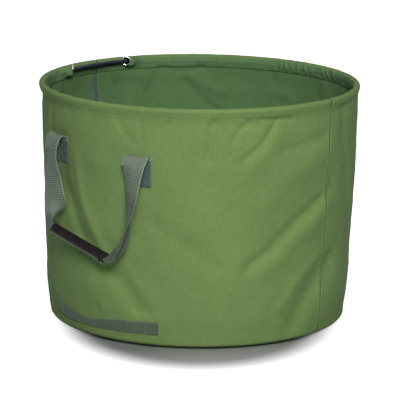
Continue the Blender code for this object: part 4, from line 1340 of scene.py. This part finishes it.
def make_stitching():
    """The thread of the hems and of the side tapes."""
    lines = []
    for start, end in ((LEFT_SEAM, RIGHT_SEAM), (RIGHT_SEAM, LEFT_SEAM + 360.0)):
        angles = np.arange(start + 0.35, end - 0.3, 0.25)
        lines.append(wall_line(angles, HEM_STITCH_Z, 0.0001))
        lines.append(wall_line(angles, HEM_STITCH_Z, HEM_GAP + CLOTH, inside=True))
    hems = stitches("hem_stitching", lines, *HEM_STITCH)
    lines = []
    levels = np.arange(TAPE_LOW + 0.002, HEM_EDGE_Z - 0.006, 0.002)
    for seam in SEAMS:
        for across in (-TAPE_STITCH, TAPE_STITCH):
            angles = seam + np.degrees((across + tape_wander(levels)) / RIM_RADIUS)
            lines.append(wall_line(angles, levels, TAPE_GAP + BINDING, inside=True))
    return [hems, stitches("seam_stitching", lines, *HEM_STITCH)]


def box_stitch(place, half_width, low, high, off, inside=False):
    """A rectangle of stitches with a cross in it, on the wall at this place round the bag."""
    corners = [(-half_width, low), (half_width, low), (half_width, high), (-half_width, high)]
    runs = [(corners[i], corners[(i + 1) % 4]) for i in range(4)]
    runs += [(corners[0], corners[2]), (corners[1], corners[3])]
    t = np.linspace(0.0, 1.0, 24)
    lines = []
    for (x0, z0), (x1, z1) in runs:
        angles = place + np.degrees((x0 + (x1 - x0) * t) / RIM_RADIUS)
        lines.append(wall_line(angles, z0 + (z1 - z0) * t, off, inside))
    return lines


def make_side_stitching(name, turn):
    """Thread on the strap ends and the tipping strap of one side."""
    face = 180.0 if turn else 0.0
    top = SEWN_GAP + WEBBING_THICKNESS + 0.0002
    top_doubled = top + DOUBLED_RISE + DOUBLED_HALF
    lines = []
    for hand, (low, high) in ANCHORS.items():
        box = (hand * ANCHOR_ANGLE + face, SEWN_BOX, low + 0.005, high - SEWN_TOP)
        lines += box_stitch(*box, top) + box_stitch(*box, 0.0001, inside=True)
    ends = stitches(name + "_strap_stitching", lines, *STRAP_STITCH)
    lines = []
    radius, half = tipping_reach()
    along = np.arange(-half + 0.003, half - 0.003, 0.002)
    angle = TIPPING_CENTRE + face + np.degrees(along / radius)
    for rise in (0.13, 0.87):
        level = tipping_height(along / half, rise)
        r = skin(angle, level) + top + (top_doubled - top) * tipping_doubled(along, half)
        lines.append((around(r, angle, level), around(1.0, angle, 0.0 * along)))
    for middle in (TIPPING_BOX_IN - half, half - TIPPING_BOX_IN):
        place = TIPPING_CENTRE + face + math.degrees(middle / radius)
        low, high = (tipping_height(middle / half, rise) for rise in (0.18, 0.82))
        lines += box_stitch(place, TIPPING_BOX, low, high, top_doubled)
    return [ends, stitches(name + "_tipping_stitching", lines, *STRAP_STITCH)]


def photo_side(x, y, z):
    """A place given as right of, in front of and above the bag as the photograph sees it."""
    c, s = math.cos(AZIMUTH), math.sin(AZIMUTH)
    return (x * c + y * s, x * s - y * c, z)


def make_floor():
    """Pale floor that keeps the bag's shadow from its lamp and fades to the white background. Near the
    bag, in an oval reaching ahead of it, it lacks its white glow: a painted shadow.
    """
    mesh = bpy.data.meshes.new("floor")
    rim = [(FLOOR_RADIUS * math.cos(t), FLOOR_RADIUS * math.sin(t), -0.0005) for t in full_turn(96)]
    mesh.from_pydata(rim, [], [tuple(range(len(rim)))])
    floor = add_object("floor", mesh)
    nodes = Surface("pale_floor", FLOOR_SHADE, 0.9, Specular_IOR_Level=0.0, Emission_Color=(*WHITE, 1.0))
    seen = nodes.seen()
    nodes.put(nodes.shader["Base Color"], nodes.mix(seen, (*FLOOR_BOUNCE, 1.0), (*FLOOR_SHADE, 1.0)))
    # No white glow inside the oval near the bag, a painted shadow
    shadow_pool = nodes.add("Mapping", nodes.add("NewGeometry").outputs["Position"], vector_type="TEXTURE")
    shadow_pool.inputs["Location"].default_value = photo_side(0.0, SHADOW_POOL_AHEAD, 0.0)
    shadow_pool.inputs["Rotation"].default_value = (0.0, 0.0, AZIMUTH)
    shadow_pool.inputs["Scale"].default_value = (*SHADOW_POOL, 1.0)
    away = nodes.add("VectorMath", shadow_pool.outputs[0], operation="LENGTH").outputs["Value"]
    fade = nodes.span(away, 0.0, 1.0, FLOOR_NEAR, FLOOR_FAR, interpolation_type="SMOOTHSTEP")
    nodes.put(nodes.shader["Emission Strength"], nodes.math("MULTIPLY", seen, fade))
    mesh.materials.append(nodes.material)
    return floor


def make_world():
    """A white backdrop for what is seen, and a dim tinted dome for what it lights."""
    world = bpy.data.worlds.new("studio")
    bpy.context.scene.world = world
    world.use_nodes = True
    nodes = Tree(world.node_tree)
    background = nodes.tree.nodes["Background"].inputs
    seen = nodes.seen()
    nodes.put(background["Color"], nodes.mix(seen, (*DOME_TINT, 1.0), (*WHITE, 1.0)))
    nodes.put(background["Strength"], nodes.span(seen, DOME, 1.0))


def make_lamps(floor):
    """The key lamp lights all but the floor, which has a lamp of its own."""
    for name, energy, size, place, aim, tint, state in (
        ("key", 205.0, 1.8, photo_side(0.25, 3.9, 2.75), (0.0, 0.0, 0.25), KEY_TINT, "EXCLUDE"),
        ("floor_lamp", 42.0, 1.8, photo_side(0.0, -0.15, 2.7), (0.0, 0.0, 0.0), WHITE, "INCLUDE"),
    ):
        lamp = bpy.data.lights.new(name, "AREA")
        lamp.shape = "DISK"
        lamp.size = size
        lamp.energy = energy
        lamp.color = tint
        obj = add_object(name, lamp)
        obj.location = place
        obj.rotation_euler = (Vector(aim) - Vector(place)).to_track_quat("-Z", "Y").to_euler()
        lit = bpy.data.collections.new(name + "_lights")
        lit.objects.link(floor)
        lit.collection_objects[0].light_linking.link_state = state
        obj.light_linking.receiver_collection = lit


def make_camera():
    data = bpy.data.cameras.new("photo_camera")
    data.sensor_width = SENSOR
    data.lens = FOCAL_PIXELS / IMAGE * SENSOR
    data.shift_x = LEFT_BY_PIXELS / IMAGE
    data.clip_end = 60.0
    camera = add_object("photo_camera", data)
    ahead = Vector((0.0, math.cos(ELEVATION), -math.sin(ELEVATION)))
    right = Vector((1.0, 0.0, 0.0))
    rolled = right * math.cos(ROLL) + right.cross(ahead) * math.sin(ROLL)
    matrix = Matrix((rolled, rolled.cross(ahead), -ahead)).transposed().to_4x4()
    matrix.translation = Vector((0.0, 0.0, TARGET_Z)) - ahead * DISTANCE
    camera.matrix_world = Matrix.Rotation(AZIMUTH, 4, "Z") @ matrix
    bpy.context.scene.camera = camera


def main():
    (front, front_size), (back, back_size) = (
        make_wall("front_wall_cloth", LEFT_SEAM, RIGHT_SEAM, "front_wall_panel", FRONT_CUT),
        make_wall("back_wall_cloth", RIGHT_SEAM, LEFT_SEAM + 360.0, "back_wall_panel", BACK_CUT),
    )
    base = make_base()
    binding = make_base_binding()
    tapes = [
        make_side_tape("side_tape_left", LEFT_SEAM, "side_seam_binding_left"),
        make_side_tape("side_tape_right", RIGHT_SEAM, "side_seam_binding_right"),
    ]
    hoop = make_hoop()
    eyelets = [make_eyelet(eyelet) for eyelet in EYELETS]
    straps, ends, tipping, sleeves, lips, threads = [], [], [], [], [], []
    for name, turn in (("front", 0), ("back", 1)):
        pieces, length = make_carry_strap(name, turn)
        straps += pieces
        ends += [make_patch(name, side, hand, turn) for side, hand in (("left", -1), ("right", 1))]
        sleeve, lip = make_sleeve(name, turn)
        sleeves.append(sleeve)
        lips.append(lip)
        tipping.append(make_tipping_strap(name, turn))
        threads += make_side_stitching(name, turn)
    threads += make_stitching()

    paint([front, back], canvas_material("canvas", CANVAS_GREEN))
    paint([base], canvas_material("base_cloth", BASE_GREEN, 1.3, 0.05, wall=False))
    paint(straps,
          webbing_material("carry_webbing", WEBBING_GREEN, RIB_PITCH, WEBBING, CARRY_TONES, length))
    # The sewn ends are painted darker than the carry strap, a painted shade
    paint(ends, webbing_material("sewn_webbing_shaded", SHADED_PATCH_GREEN, RIB_PITCH, WEBBING))
    paint(tipping,
          webbing_material("tipping_webbing", TIPPING_GREEN, TIPPING_PITCH, TIPPING_HEIGHT, TIPPING_TONES))
    paint([binding] + tapes, webbing_material("seam_tape", TAPE_GREEN, TAPE_RIBS, TAPE_WIDTH))
    paint(threads, thread_material())
    paint([hoop],
          moulded_material("hoop_plastic", TUBE_BLACK, 0.50, 700.0, 0.00006, Specular_IOR_Level=0.30))
    paint(sleeves,
          moulded_material("grip_plastic", GRIP_BROWN, 0.55, 900.0, 0.00025, Specular_IOR_Level=0.08))
    paint(lips, moulded_material("grip_lip", LIP_MAUVE, 0.55, 900.0, 0.00015))
    paint(eyelets, chrome_material())
    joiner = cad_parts["hoop_joiner"].data.materials
    joiner.clear()
    joiner.append(moulded_material("joiner_plastic", TUBE_BLACK, 0.40, 700.0, 0.00006))

    for piece in [front, back, base, binding, hoop] + tapes + eyelets + tipping + threads + ends:
        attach(piece, "root")
    floor = make_floor()
    make_world()
    make_lamps(floor)
    make_camera()


main()
bpy.context.scene.view_settings.view_transform = "Standard"
